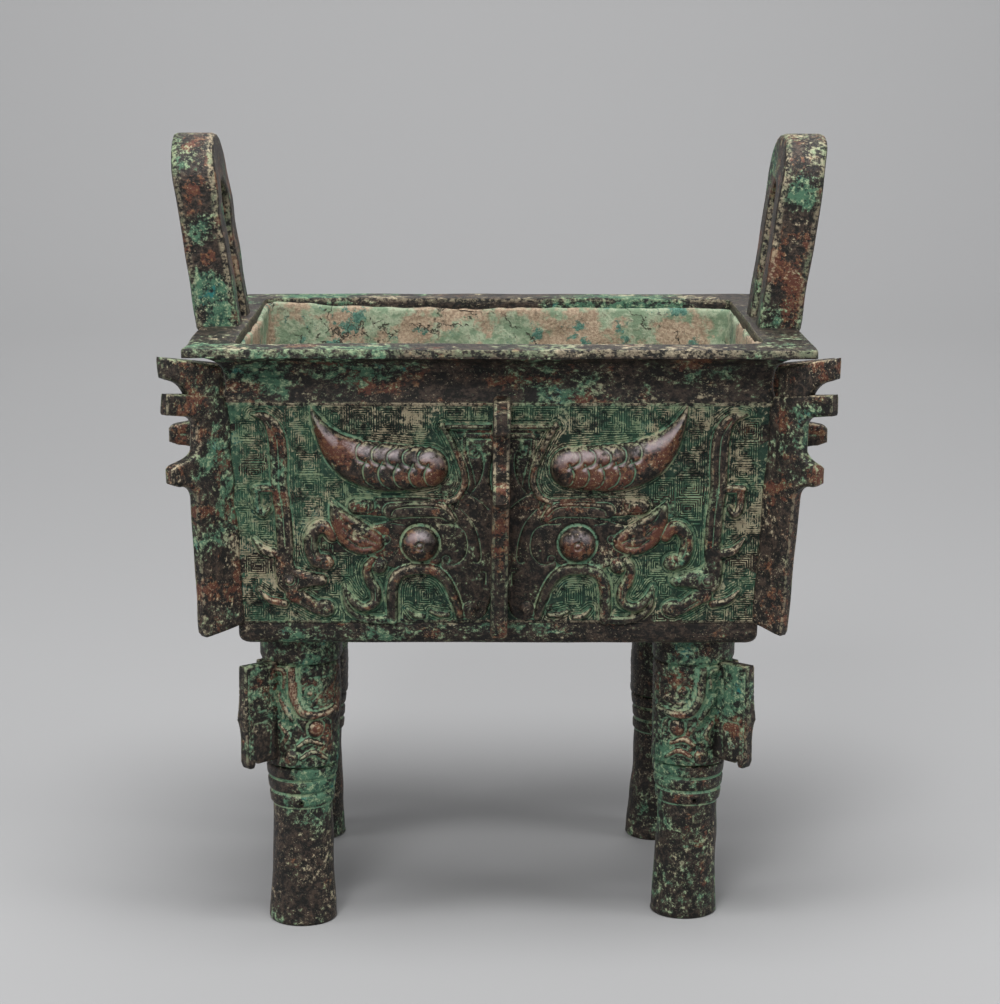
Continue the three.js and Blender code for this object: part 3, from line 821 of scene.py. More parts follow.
def threadTree():
    # sweeps a thread along each path and gives it the material
    tree, given, made = newGroup(
        "GeometryNodeTree",
        "spiralThread",
        [
            ("Paths", "NodeSocketGeometry", None),
            ("Thread Width", "NodeSocketFloat", relief["threadWidth"]),
            ("Thread Height", "NodeSocketFloat", relief["threadHeight"]),
            ("Top Share", "NodeSocketFloat", 0.66),
            ("Material", "NodeSocketMaterial", None),
        ],
        [("Threads", "NodeSocketGeometry")],
    )
    upright = put(tree, "GeometryNodeSetCurveNormal", {"mode": "Z_UP"}, Curve=given.outputs["Paths"])
    top = mathNode(tree, "MULTIPLY", given.outputs["Thread Width"], given.outputs["Top Share"])
    tall = mathNode(tree, "MULTIPLY", given.outputs["Thread Height"], 2.0)
    section = put(
        tree,
        "GeometryNodeCurvePrimitiveQuadrilateral",
        {"mode": "TRAPEZOID"},
        Bottom_Width=top,
        Top_Width=given.outputs["Thread Width"],
        Offset=0.0,
        Height=tall,
    )
    # the section is drawn upside down, because a curve's second axis points down here
    path, profile = upright.outputs[0], section.outputs[0]
    swept = put(tree, "GeometryNodeCurveToMesh", Curve=path, Profile_Curve=profile, Fill_Caps=True)
    whole = put(tree, "GeometryNodeRealizeInstances", Geometry=swept.outputs[0]).outputs[0]
    dressed = put(tree, "GeometryNodeSetMaterial", Geometry=whole, Material=given.outputs["Material"])
    tree.links.new(dressed.outputs[0], made.inputs[0])
    return tree, {item.name: item.identifier for item in tree.interface.items_tree}


threadNodes, threadSockets = threadTree()


def spiralGround(quarter, material):
    # winds the threads flat, in millimetres, and returns their places on a side
    squeeze = relief["squeeze"] if quarter % 2 == 0 else 1.0
    curve = bpy.data.curves.new("spiralPaths", "CURVE")
    curve.dimensions = "3D"
    lines = groundThreads(squeeze, panelHalf[1 - quarter % 2])
    for side in (1, -1):
        for row in lines:
            spline = curve.splines.new("POLY")
            spline.points.add(len(row) - 1)
            for point, (a, b) in zip(spline.points, row):
                point.co = (side * a, b, 0, 1)
    carrier = bpy.data.objects.new("spiralPaths", curve)
    bpy.context.scene.collection.objects.link(carrier)
    modifier = carrier.modifiers.new("threads", "NODES")
    modifier.node_group = threadNodes
    modifier[threadSockets["Thread Width"]] = relief["threadWidth"]
    modifier[threadSockets["Thread Height"]] = relief["threadHeight"]
    modifier[threadSockets["Material"]] = material
    evaluated = carrier.evaluated_get(bpy.context.evaluated_depsgraph_get())
    mesh = bpy.data.meshes.new_from_object(evaluated)
    carrier.modifiers.remove(modifier)
    bpy.data.objects.remove(carrier)
    flat = np.zeros(len(mesh.vertices) * 3)
    mesh.vertices.foreach_get("co", flat)
    flat = flat.reshape(-1, 3)
    faces = [list(p.vertices) for p in mesh.polygons]
    bpy.data.meshes.remove(mesh)
    z = flat[:, 1] + bandTop
    uneven = panelRumple(quarter, flat[:, 0], z) + 0.05 * rumple(flat, 6, quarter)
    points = panelPlace(quarter, flat[:, 0], z, flat[:, 2] + relief["proud"] + uneven)
    # thread tops take the pale edge colour, in part a painted highlight where the threads catch the light
    return points, faces, np.where(flat[:, 2] > 0, 0.5, -0.2), np.full(len(flat), 0.05)


# Body: outside, over the lip and down the inside, as one closed skin

def rectangleRing(halfX, halfY, z, radius, around):
    # a level rectangle with rounded corners, anticlockwise from above
    alongX, alongY, arc = around
    corners = []
    for i, (sx, sy) in enumerate(((1, 1), (-1, 1), (-1, -1), (1, -1))):
        turn = (i + np.arange(arc + 1) / arc) * 90 * degree
        x, y = sx * (halfX - radius), sy * (halfY - radius)
        corners.append(np.column_stack([x + radius * np.cos(turn), y + radius * np.sin(turn)]))
    ring = []
    for i, corner in enumerate(corners):
        ahead = corners[(i + 1) % 4][0]
        ring += [corner, np.linspace(corner[-1], ahead, (alongX, alongY)[i % 2], endpoint=False)[1:]]
    ring = np.vstack(ring)
    return np.column_stack([ring, np.full(len(ring), z)])


def closedSkin(rings):
    # faces over closed rings of points, with a flat face at each end
    count = len(rings[0])
    faces = gridFaces(len(rings), count, closed=True)
    faces.append(list(range(count - 1, -1, -1)))
    faces.append(list(range(count * (len(rings) - 1), count * len(rings))))
    return np.vstack(rings), faces


def outwards(points, least):
    # level unit vectors away from the middle
    away = points.copy()
    away[:, 2] = 0
    return away / np.maximum(np.linalg.norm(away, axis=1), least)[:, None]


def bodyLevels():
    # (height, half length, corner radius) from the underside, up the outside and down the inside
    outer, lip, bend = vessel["outerCorner"], vessel["lipCorner"], vessel["edgeRounding"]
    quarterTurn = [math.sin(t * 15 * degree) for t in range(7)]
    foot = panelHalf[0] - inset(bandTop)
    levels = []
    for low, far in zip(quarterTurn[::-1], quarterTurn):
        levels.append((floorZ + bend * (1 - low), foot - bend * (1 - far), outer))
    levels += [(z, foot, outer) for z in np.linspace(floorZ + bend + 0.8, bandTop - 0.5, 4)]
    levels.append((bandTop, foot - 0.2, outer))
    levels += [(z, panelHalf[0] - inset(z), outer) for z in np.linspace(bandTop + 0.4, panelTop - 0.5, 22)]

    # a step in to the neck, which is a little hollow, and the sweep out to the lip
    sweepStart = panelTop + vessel["neckHeight"] * vessel["sweepFrom"]
    sweepTop = vessel["rimHeight"] - vessel["lipThickness"]
    for t in np.linspace(0, 0.92, 9):
        step = (vessel["neckStep"] + 0.1) * (1 - t) ** 1.8
        z = panelTop + 0.1 + (sweepStart - panelTop) * t
        levels.append((z, neckHalf[0] - 0.5 * math.sin(math.pi * t) + step, outer))
    for t in range(13):
        a = t * 7.5 * degree
        out = vessel["lipOverhang"] * (1 - math.cos(a)) ** vessel["lipCurve"]
        levels.append((sweepStart + (sweepTop - sweepStart) * math.sin(a), neckHalf[0] + out, lip))

    rim, top = vessel["rimLength"] / 2, vessel["rimHeight"]
    inner, corner = neckHalf[0] - vessel["wall"], vessel["innerCorner"]
    levels += [(sweepTop + 0.7, rim, lip), (top - 0.7, rim, lip), (top - 0.15, rim - 0.25, lip)]
    levels += [(top, rim - 1.1, 2.4), (top, rim - 4, 3), (top, rim - 8, 4.5)]
    levels += [(top, inner + 3.5, 6), (top, inner + 0.9, 6.7)]

    # the inside goes straight down behind the neck and then draws in with the panels
    levels += [(top - 0.25, inner + 0.2, corner), (top - 1, inner, corner)]
    levels += [(z, inner, corner) for z in np.linspace(top - 3, panelTop, 8)]
    bottom, low = floorZ + vessel["floor"], foot - vessel["wall"]
    for z in np.linspace(panelTop - 4, bottom + bend, 14):
        levels.append((z, low + (inner - low) * (z - bottom) / (panelTop - bottom), corner))
    for down, far in zip(quarterTurn[1:], quarterTurn[5::-1]):
        levels.append((bottom + bend * (1 - down), low - bend * (1 - far), corner))
    return levels


def bodyPiece(material):
    levels = bodyLevels()
    around = vessel["around"]
    rings = [rectangleRing(half, half - shortfall, z, radius, around) for z, half, radius in levels]
    points, faces = closedSkin(rings)
    uneven = 0.16 * rumple(points, 26, 1) + 0.05 * rumple(points, 6, 2)
    points = points + outwards(points, 0) * uneven[:, None]
    points[:, 2] += 0.12 * rumple(points, 40, 5) * (points[:, 2] > panelTop)
    # the lip's edge and the line under the neck take the pale edge colour: earth, and painted highlight
    # where these bevels catch the light
    sweepTop = vessel["rimHeight"] - vessel["lipThickness"]
    pale = [sweepTop < z < vessel["rimHeight"] or abs(z - panelTop) < 0.6 for z, half, radius in levels]
    carving = np.repeat(np.where(pale, 0.5, 0.0), len(rings[0]))
    return makeMesh("vesselBody", points, faces, material, carving, None, 50)


# Lining of earth and corrosion inside

lining = {
    "thickness": 1.1,
    "below": 3.6,    # its ragged upper edge lies this far below the rim
    "corner": 2.2,    # and higher in two corners
    "rows": 46,
    "around": (90, 70, 6),
    "floorShares": (1.0, 0.97, 0.9, 0.8, 0.7, 0.58, 0.46, 0.34, 0.22, 0.1, 0.02),
}


def liningPiece(material):
    inner = neckHalf[0] - vessel["wall"]
    low = panelHalf[0] - inset(bandTop) - vessel["wall"]
    bottom = floorZ + vessel["floor"]
    bend, top, thickness = vessel["edgeRounding"], vessel["rimHeight"], lining["thickness"]
    reference = rectangleRing(inner, inner - shortfall, 0, vessel["innerCorner"], lining["around"])
    edge = top - lining["below"] + 0.22 * rumple(reference, 30, 11)
    for corner in ((-inner, inner - shortfall), (inner, shortfall - inner)):
        near = np.hypot(reference[:, 0] - corner[0], reference[:, 1] - corner[1])
        edge += lining["corner"] * np.exp(-(near / 26) ** 4)
    edge += 0.16 * rumple(reference, 6, 12)
    edge = np.clip(edge, top - 6.5, top - 0.8)

    def wallRing(share, depth):
        # share runs from the edge down to the floor's rim, depth is how far it stands off the wall
        z = edge + (bottom + bend - edge) * share
        up = np.clip((z - bottom) / (panelTop - bottom), 0, 1)
        half = low + (inner - low) * up - depth
        scale = np.column_stack([half / inner, (half - shortfall) / (inner - shortfall)])
        return np.column_stack([reference[:, :2] * scale, z])

    def floorRing(share, z):
        half, radius = low - bend, max(vessel["innerCorner"] * share - 3, 0.4)
        return rectangleRing(half * share, (half - shortfall) * share, z, radius, lining["around"])

    # the side against the wall, from the floor up, and then the side that shows, from the edge down
    hidden = [floorRing(share, bottom - 0.6) for share in (0.02, 0.97)]
    hidden += [wallRing(share, -0.5) for share in (1, 0.75, 0.5, 0.25, 0.03)]
    shown = [wallRing(0.0, 0.1), wallRing(0.004, thickness * 0.7)]
    shown += [wallRing(share, thickness) for share in np.linspace(0.012, 0.96, lining["rows"])]
    shown += [floorRing(share, bottom + thickness) for share in lining["floorShares"]]
    points, faces = closedSkin(hidden + shown)
    inside = np.arange(len(points)) >= (len(hidden) + 1) * len(reference)
    lumps = 0.3 * rumple(points, 22, 13) + 0.16 * rumple(points, 7, 14) + 0.07 * rumple(points, 2.6, 15)
    onFloor = points[:, 2] < bottom + thickness + 0.2
    points[inside & ~onFloor] -= (outwards(points, 1) * lumps[:, None])[inside & ~onFloor]
    points[inside & onFloor, 2] += np.abs(lumps)[inside & onFloor]
    return makeMesh("earthLining", points, faces, material, np.where(inside, 0.0, -0.5))


earth = {
    "tan": ((0.28, 0.2, 0.135), (0.44, 0.34, 0.24)),
    "green": ((0.17, 0.24, 0.15), (0.34, 0.39, 0.27)),
    "malachite": ((0.05, 0.13, 0.1), (0.12, 0.25, 0.19)),
    "stain": (0.13, 0.1, 0.07),
    "crack": (0.05, 0.045, 0.032),
}


def liningMaterial():
    # tan and pink earth over green, with dark cracks and small holes
    material, tree, shader, at = newMaterial("earthLining")
    moved = vectorMath(tree, "ADD", at, (1.3, 4.1, 2.2)).outputs[0]
    broad = noise(tree, at, 30, 7, 0.7)
    middle = noise(tree, moved, 80, 8, 0.72)
    small = noise(tree, at, 260, 6, 0.7)
    fine = noise(tree, moved, 900, 5, 0.75)
    colour = blend(tree, ramp(tree, fine, 0.42, 0.6), *earth["tan"])
    greenish = blend(tree, ramp(tree, small, 0.42, 0.58), *earth["green"])
    colour = blend(tree, ramp(tree, broad, 0.45, 0.51), colour, greenish)
    patches = weighted(tree, middle, (small, 0.3))
    darker = blend(tree, ramp(tree, fine, 0.45, 0.6), *earth["malachite"])
    colour = blend(tree, ramp(tree, patches, 0.7, 0.75), colour, darker)
    colour = blend(tree, ramp(tree, small, 0.58, 0.66, 0, 0.6), colour, earth["stain"])
    warp = noise(tree, at, 45, 6, 0.65, "Color")
    bent = vectorMath(tree, "MULTIPLY_ADD", warp, (0.04, 0.04, 0.04), at).outputs[0]
    cells = put(tree, "ShaderNodeTexVoronoi", {"feature": "DISTANCE_TO_EDGE"}, Vector=bent, Scale=22.0)
    cracked = ramp(tree, cells.outputs["Distance"], 0.011, 0.003)
    cracked = product(tree, cracked, ramp(tree, middle, 0.46, 0.5))
    colour = blend(tree, cracked, colour, earth["crack"])
    height = weighted(tree, 0.0, (fine, 0.7), (cracked, -1.5), (small, 1.6), (middle, 2.4))
    bump = put(tree, "ShaderNodeBump", Strength=0.8, Distance=0.0005, Height=height)
    feed(tree, shader.inputs["Base Color"], colour)
    feed(tree, shader.inputs["Normal"], bump.outputs["Normal"])
    shader.inputs["Roughness"].default_value = 0.88
    return material


# Plates: flanges, leg blades and handles, cut to an outline with rounded edges

def outline(*moves, step=1.1):
    # a closed outline; a move is (x, y) for a straight line or (cx, cy, x, y) for a curve
    corners = [np.array(moves[0], float)]
    for move in (*moves[1:], moves[0]):
        start = corners[-1]
        end = np.array(move[-2:], float)
        if len(move) == 4:
            middle = np.array(move[:2], float)
            length = np.linalg.norm(middle - start) + np.linalg.norm(end - middle)
        else:
            middle = (start + end) / 2
            length = np.linalg.norm(end - start)
        count = max(1, round(length / step))
        for i in range(1, count + 1):
            t = i / count
            corners.append((1 - t) ** 2 * start + 2 * t * (1 - t) * middle + t ** 2 * end)
    return np.array(corners[:-1])


def loopDistance(points, loop):
    # distance from points to a closed loop
    best = np.full(len(points), 99.0)
    for a, b in zip(loop, np.roll(loop, -1, axis=0)):
        along = b - a
        t = np.clip(((points - a) @ along) / max(along @ along, 1e-9), 0, 1)
        best = np.minimum(best, np.linalg.norm(points - a - t[:, None] * along, axis=1))
    return best


def isInside(points, loop):
    inside = np.zeros(len(points), bool)
    for a, b in zip(loop, np.roll(loop, -1, axis=0)):
        crosses = (a[1] > points[:, 1]) != (b[1] > points[:, 1])
        slope = (b[0] - a[0]) / (b[1] - a[1]) if abs(b[1] - a[1]) > 1e-12 else 0
        inside ^= crosses & (points[:, 0] < a[0] + (points[:, 1] - a[1]) * slope)
    return inside


def plate(loop, thickness, rounding, cuts=(), spacing=1.3, depth=0.5):
    # both faces and the edge of a plate in its own plane, as points, faces and carving
    low, high = loop.min(0), loop.max(0)
    xs = np.arange(low[0] + spacing / 2, high[0], spacing)
    ys = np.arange(low[1] + spacing / 2, high[1], spacing)
    field = np.array([(x + (j % 2) * spacing / 2, y) for j, y in enumerate(ys) for x in xs])
    field = field[isInside(field, loop) & (loopDistance(field, loop) > spacing * 0.6)]

    # rows of points along the edge, where the rounding bends
    along = np.roll(loop, -1, axis=0) - np.roll(loop, 1, axis=0)
    along /= np.linalg.norm(along, axis=1)[:, None]
    normal = np.column_stack([-along[:, 1], along[:, 0]])
    rim = []
    for gap in (rounding * 0.3, rounding):
        ring = loop + normal * gap
        rim.append(ring[loopDistance(ring, loop) > gap * 0.8])
    inner = np.vstack([field, *rim])
    inner = inner[isInside(inner, loop)]

    edges = [(i, (i + 1) % len(loop)) for i in range(len(loop))]
    cut = delaunay_2d_cdt([Vector(p) for p in np.vstack([loop, inner])], edges, [], 0, 1e-5)
    made = np.array([tuple(p) for p in cut[0]])
    triangles = np.array(cut[2])
    triangles = triangles[isInside(made[triangles].mean(axis=1), loop)]
    a, b, c = made[triangles[:, 0]], made[triangles[:, 1]], made[triangles[:, 2]]
    area = (b[:, 0] - a[:, 0]) * (c[:, 1] - a[:, 1]) - (b[:, 1] - a[:, 1]) * (c[:, 0] - a[:, 0])
    triangles, area = triangles[np.abs(area) > 1e-9], area[np.abs(area) > 1e-9]
    triangles[area < 0] = triangles[area < 0][:, ::-1]
    used, numbered = np.unique(triangles, return_inverse=True)
    triangles = numbered.reshape(-1, 3)
    made = made[used]

    gap = loopDistance(made, loop)
    groove = np.zeros(len(made))
    for rows in cuts:
        groove = np.maximum(groove, cutLine(made[:, 0], made[:, 1], rows, 0.5, depth))
    half = thickness / 2 - rounding * (1 - np.sqrt(1 - (1 - np.clip(gap / rounding, 0, 1)) ** 2)) - groove
    count = len(made)
    points = [np.column_stack([made, half]), np.column_stack([made, -half])]
    faces = triangles.tolist() + (triangles[:, ::-1] + count).tolist()

    # side walls run along every edge that has one triangle only
    sides = dict.fromkeys((t[i], t[(i + 1) % 3]) for t in triangles.tolist() for i in range(3))
    border = [(i, j) for i, j in sides if (j, i) not in sides]
    extra = {i: 2 * count + 2 * n for n, (i, j) in enumerate(border)}
    points += [[(*made[i], half[i] * 0.7), (*made[i], -half[i] * 0.7)] for i, j in border]
    for i, j in border:
        a, b = extra[i], extra[j]
        faces += [[j, i, a, b], [b, a, a + 1, b + 1], [b + 1, a + 1, i + count, j + count]]
    carving = np.clip(0.6 * (gap < rounding * 0.5) - groove * 1.1, -1, 1)
    return np.vstack(points), faces, np.concatenate([carving, carving, np.zeros(2 * len(border))])


def standPlate(points, angle, foot):
    # the plate's first axis runs outwards at an angle and its second goes up
    out, across = (math.cos(angle), math.sin(angle)), (math.sin(angle), -math.cos(angle))
    return np.column_stack([
        foot[0] + points[:, 0] * out[0] + points[:, 2] * across[0],
        foot[1] + points[:, 0] * out[1] + points[:, 2] * across[1],
        points[:, 1],
    ])


flange = {
    "cornerReach": 23.2,
    "centreReach": 27.5,
    "cornerThickness": 4.6,
    "centreThickness": 5.6,
    "longSideDrop": 4.6,
    "hookHeight": 7.2,
    "hookDrop": 23.5,
    "topRise": 2.2,
    "hookRise": 5.3,
    "bladeDrop": 2.4,
    "nose": 1.2,
    "neckGap": 2,
    "neckRise": 15.7,
    "rounding": 1.0,
    "askew": (0.0, 0.006, -0.008, 0.012),    # how far each centre flange leans along its side
}


def flangeOutline(reach, slope, drop, low=0.92, waist=0.51, foot=0.0):
    # two hooks with a boxy throat between them, then a long narrow blade
    nose, hook = flange["nose"], flange["hookHeight"]
    root = -vessel["wall"] * 0.5
    throat, blade, end, heel = reach * 0.5, reach * waist, reach * 0.45 - slope + foot, reach * 0.8
    top = panelTop + flange["topRise"]
    hookTop = panelTop + flange["hookRise"] - drop
    lowTop = hookTop - flange["hookDrop"]
    lowBottom = lowTop - hook
    bottom = bandTop - flange["bladeDrop"]
    tip, hookFoot = reach * low, hookTop - hook
    return outline(
        (root - slope, bandTop), (-slope * 0.6, bandTop - 0.8),
        (end * 0.6, bottom, end * 0.9, bottom), (end, bottom + nose),
        (blade, lowBottom - hook * 0.7), (blade + nose * 0.5, lowBottom, min(heel, tip - 2), lowBottom),
        (tip, lowBottom + nose), (tip, lowTop - nose), (tip - 1, lowTop, tip - 2.4, lowTop + 0.2),
        (throat + 0.6, lowTop + 1.6, throat, lowTop + 4), (throat, hookFoot - 5),
        (throat, hookFoot - 2.2, throat + 3, hookFoot - 1), (reach - nose, hookFoot + 0.2),
        (reach, hookFoot, reach, hookFoot + 1), (reach, hookTop), (reach * 0.4, (top + hookTop) / 2),
        (-0.4, top), (-0.4, panelTop - 0.2), (root, panelTop - 0.2),
    )


def flangeCuts(reach, drop):
    # shallow lines: a curl in each hook and a line along the blade
    top = panelTop + flange["hookRise"] - drop
    low = top - flange["hookDrop"]
    blade, middle = reach * 0.3, reach * 0.5
    return [
        [(reach * 0.82, top - 3.2), (middle, top - 4.2), (reach * 0.36, top - 8), (middle, top - 11)],
        [(reach * 0.2, top - 6), (reach * 0.2, top - 20)],
        [(reach * 0.76, low - 3.4), (reach * 0.45, low - 4.6), (reach * 0.3, low - 1.5)],
        [(blade, low - 12), (blade - 1, (low + bandTop) / 2 - 6), (blade - 3.4, bandTop + 6)],
    ]


def neckOutline(reach, foot, crown):
    # the hooked piece beside the neck, with a narrow gap behind it
    stem, tip = reach * 0.53 + 1, reach * 1.06
    back = flange["neckGap"] - vessel["neckStep"] * math.sqrt(2)
    hook, nose = flange["hookHeight"], flange["nose"]
    return outline(
        (back + 1, foot), (stem, foot),
        (stem + nose * 2, crown - hook - nose * 1.6, tip - 3, crown - hook - 0.6),
        (tip - 0.4, crown - hook + 0.4), (tip, crown),
        ((back + tip) / 2, crown - flange["neckRise"] / 6), (back, crown - flange["neckRise"] / 3),
    )


# how each corner's flange differs: share of the lower hook, of the waist, and more at the foot
cornerShapes = [(0.9, 0.5, 1.5), (0.92, 0.52, 2.5), (0.93, 0.52, 5), (0.8, 0.39, 0.4)]


def cornerFlanges(material):
    parts = Parts()
    reach, thickness, rounding = flange["cornerReach"], flange["cornerThickness"], flange["rounding"]
    slope = vessel["bodyTaper"] * math.sqrt(2)
    foot = panelTop + flange["topRise"] - 0.6
    crown = foot + flange["neckRise"]
    neckCuts = [[(reach * 0.95, crown - 3.4), (reach * 0.5, crown - 6), (reach * 0.25, crown - 10.4)]]
    high = plate(neckOutline(reach, foot, crown), thickness * 0.85, rounding, neckCuts, depth=0.3)
    for i, (sx, sy) in enumerate(((1, 1), (-1, 1), (-1, -1), (1, -1))):
        loop = flangeOutline(reach, slope, 0, *cornerShapes[i])
        low = plate(loop, thickness, rounding, flangeCuts(reach, 0), depth=0.3)
        for points, faces, carving in (low, high):
            placed = standPlate(points, math.atan2(sy, sx), (sx * panelHalf[0], sy * panelHalf[1]))
            placed += 0.14 * rumple(placed, 14, 20 + i)[:, None] * np.array([sx, -sy, 0])
            parts.add(placed, faces, carving, np.full(len(placed), 0.5))
    return parts.piece("cornerFlanges", material, 55)


def centreFlanges(material):
    parts = Parts()
    for i in range(4):
        drop = (i % 2) * flange["longSideDrop"]
        loop = flangeOutline(flange["centreReach"], vessel["bodyTaper"], drop)
        cuts = flangeCuts(flange["centreReach"], drop)
        points, faces, carving = plate(loop, flange["centreThickness"], flange["rounding"], cuts)
        angle = i * 90 * degree
        foot = (panelHalf[i % 2] * round(math.cos(angle)), panelHalf[i % 2] * round(math.sin(angle)))
        placed = standPlate(points, angle, foot)
        placed[:, 1 - i % 2] += flange["askew"][i] * (placed[:, 2] - bandTop)
        parts.add(placed, faces, carving, np.full(len(placed), 0.55))
    return parts.piece("centreFlanges", material, 55)


handle = {
    "height": 64.5,
    "width": 45,
    "thickness": 14.6,
    "legWidth": 13.5,
    "crown": 16.5,
    "lean": 8,
    "rounding": 1.7,
    "inward": 1.4,    # its outer face stands this far out past the rim at its foot
}


def handleOutline():
    # an arch over a slot that is open at its foot, which stands in the lip
    half, tall = handle["width"] / 2, handle["height"]
    hole = half - handle["legWidth"]
    holeTop = tall - handle["crown"] - hole
    shoulder = tall - half * 0.78
    foot = -vessel["lipThickness"] * 0.7
    slot = []
    for a in range(15, 180, 15):
        slot.append((-hole * math.cos(a * degree), holeTop + hole * math.sin(a * degree)))
    pulls = np.array([(half, shoulder), (half, shoulder + half * 0.52), (half * 0.6, tall), (0, tall)])
    crown = []
    for t in np.linspace(0, 1, 14)[1:]:
        shares = np.array([(1 - t) ** 3, 3 * t * (1 - t) ** 2, 3 * t ** 2 * (1 - t), t ** 3])
        crown.append(tuple(shares @ pulls))
    return outline(
        (-half, foot), (-hole, foot), (-hole, holeTop), *slot, (hole, holeTop), (hole, foot),
        (half, foot), (half, shoulder), *crown, *[(-x, y) for x, y in crown[-2::-1]], (-half, shoulder),
        step=1.5,
    )


def handlePair(material):
    points, faces, carving = plate(handleOutline(), handle["thickness"], handle["rounding"], spacing=1.8)
    parts = Parts()
    for side in (1, -1):
        across = points[:, 2] + vessel["rimLength"] / 2 + handle["inward"] - handle["thickness"] / 2
        x = across + math.tan(handle["lean"] * degree) * points[:, 1]
        placed = np.column_stack([side * x, side * points[:, 0], points[:, 1] + vessel["rimHeight"]])
        uneven = 0.2 * rumple(placed, 24, 30 + side)[:, None] * (points[:, 1:2] > 1)
        placed += uneven * np.array([1, 0.6, 0])
        placed[:, 2] = np.minimum(placed[:, 2], vessel["rimHeight"] + handle["height"])
        parts.add(placed, faces, carving, np.full(len(placed), 0.45))
    return parts.piece("handles", material, 50)


# Legs: a column with rings, a flaring foot and a mask, and a blade on its outer corner

legs = {
    "spacing": (132, 88),
    "collarRadius": 14,
    "maskRadius": 13.6,
    "maskTaper": 0.9,
    "maskLength": 35.6,
    "collarLength": 9.5,
    "shaftRadius": 10.2,
    "footRadius": 11.5,
    "rings": 3,
    "ringPitch": 4.8,
    "ringDepth": 1.5,
    "bladeReach": 26.5,
    "bladeLength": 36,
    "around": 150,
    "fret": 3.2,    # pitch of the square lines on the mask's ground
    "stance": [
        # side, end, off its place, foot off its top, as each leg was cast
        (1, 1, (-1.6, 0), (-4.2, 0)),
        (-1, 1, (-3.2, 0), (0, 0)),
        (-1, -1, (-1.2, 0), (0, -4.4)),
        (1, -1, (0.5, 0), (-2, 3)),
    ],
}

# On a leg, places are (arc length from the blade, height above the mask's foot).
# forms: (rise, rounding of the edge, rows); bosses: centre, radius, rise
legForms = [
    (1.9, 1.0, [
        (8.2, 35.4, 1.2), (8.5, 30, 1.4), (9, 25, 1.5), (11.3, 20.2, 1.5),
        (15, 18.7, 1.4), (19.5, 19, 1.2), (24.3, 20.4, 0.7),
    ]),
    (1.3, 0.7, [(3.6, 25.4, 0.5), (5.8, 21.2, 1.3), (8.2, 17.4, 0.7)]),
    (1.2, 0.6, [(2.2, 34.6, 0.8), (5.8, 33.6, 0.8), (5.6, 28.4, 0.8)]),
    (1.2, 0.6, [(3.6, 15.4, 0.6), (6.2, 11.8, 0.9), (4.2, 8.4, 0.7)]),
    (1.2, 0.7, [(10.4, 8, 0.7), (14, 10, 1), (18.8, 8.2, 0.7)]),
    (1.2, 0.6, [(11, 3.8, 0.7), (15.6, 5.8, 0.9), (20.6, 3, 0.7)]),
]
legBosses = [((16.7, 13.9), 2.9, 1.9), ((7.6, 3.8), 2.7, 1.9), ((14.6, 26.4), 1.1, 1.1)]
legRings = [
    # centre, radius of a cut ring
    ((16.7, 13.9), 3.5),
]
legCurls = [
    # centre, radius, turns, starting angle
    ((14.6, 26.4), 3.7, 2, 2),
    ((16.7, 13.9), 2.3, 1.6, 3),
    ((7.6, 3.8), 2.1, 1.6, 1),
    ((3.4, 30.6), 1.5, 1.2, 0),
    ((21.4, 26.4), 2.2, 1.5, 1),
    ((21.6, 12.2), 1.8, 1.4, 4),
]
legLines = [
    [(10.9, 35.2), (11.2, 30), (11.8, 25.4), (13.6, 22.2), (16.2, 21.4), (20, 21.8), (24, 23)],
    [(14.5, 31.6), (19, 31.4), (26.5, 31.4)],
    [(25.4, 30), (25.4, 24)],
    [(2.4, 26), (5, 19.6), (3.2, 16.4)],
    [(9.8, 15.8), (12, 13.2), (10.4, 9.6)],
    [(19.8, 17), (23.4, 15.4), (24.2, 9)],
    [(1.8, 6.6), (3.4, 4.6), (2.6, 1.6)],
]


def legRadius(z, ringBottom, ringTop):
    # outline of the column from the ground up, and how deep it is cut there
    share = np.clip(z / ringBottom, 0, 1)
    radius = legs["shaftRadius"] + (legs["footRadius"] - legs["shaftRadius"]) * (1 - share) ** 2
    up = (z - ringBottom) / legs["ringPitch"]
    bands = legs["shaftRadius"] + 0.7 + 0.5 * np.clip(up, 0, legs["rings"])
    apart = np.abs(up - np.round(up)) * legs["ringPitch"]
    groove = np.exp(-(apart / 0.55) ** 2)
    inRings = (z > ringBottom) & (z < ringTop)
    near = (z > ringBottom - 1.2) & (z < ringTop + 0.3)
    return np.where(inRings, bands - legs["ringDepth"] * groove * 0.6, radius), np.where(near, groove, 0)


def legPlace(side, end, off, stray, lean):
    # middle of a leg where it has gone a share of its way from the collar to the foot
    x = side * legs["spacing"][0] / 2 + off[0] + stray[0] * lean
    y = end * legs["spacing"][1] / 2 + off[1] + stray[1] * lean
    return x, y


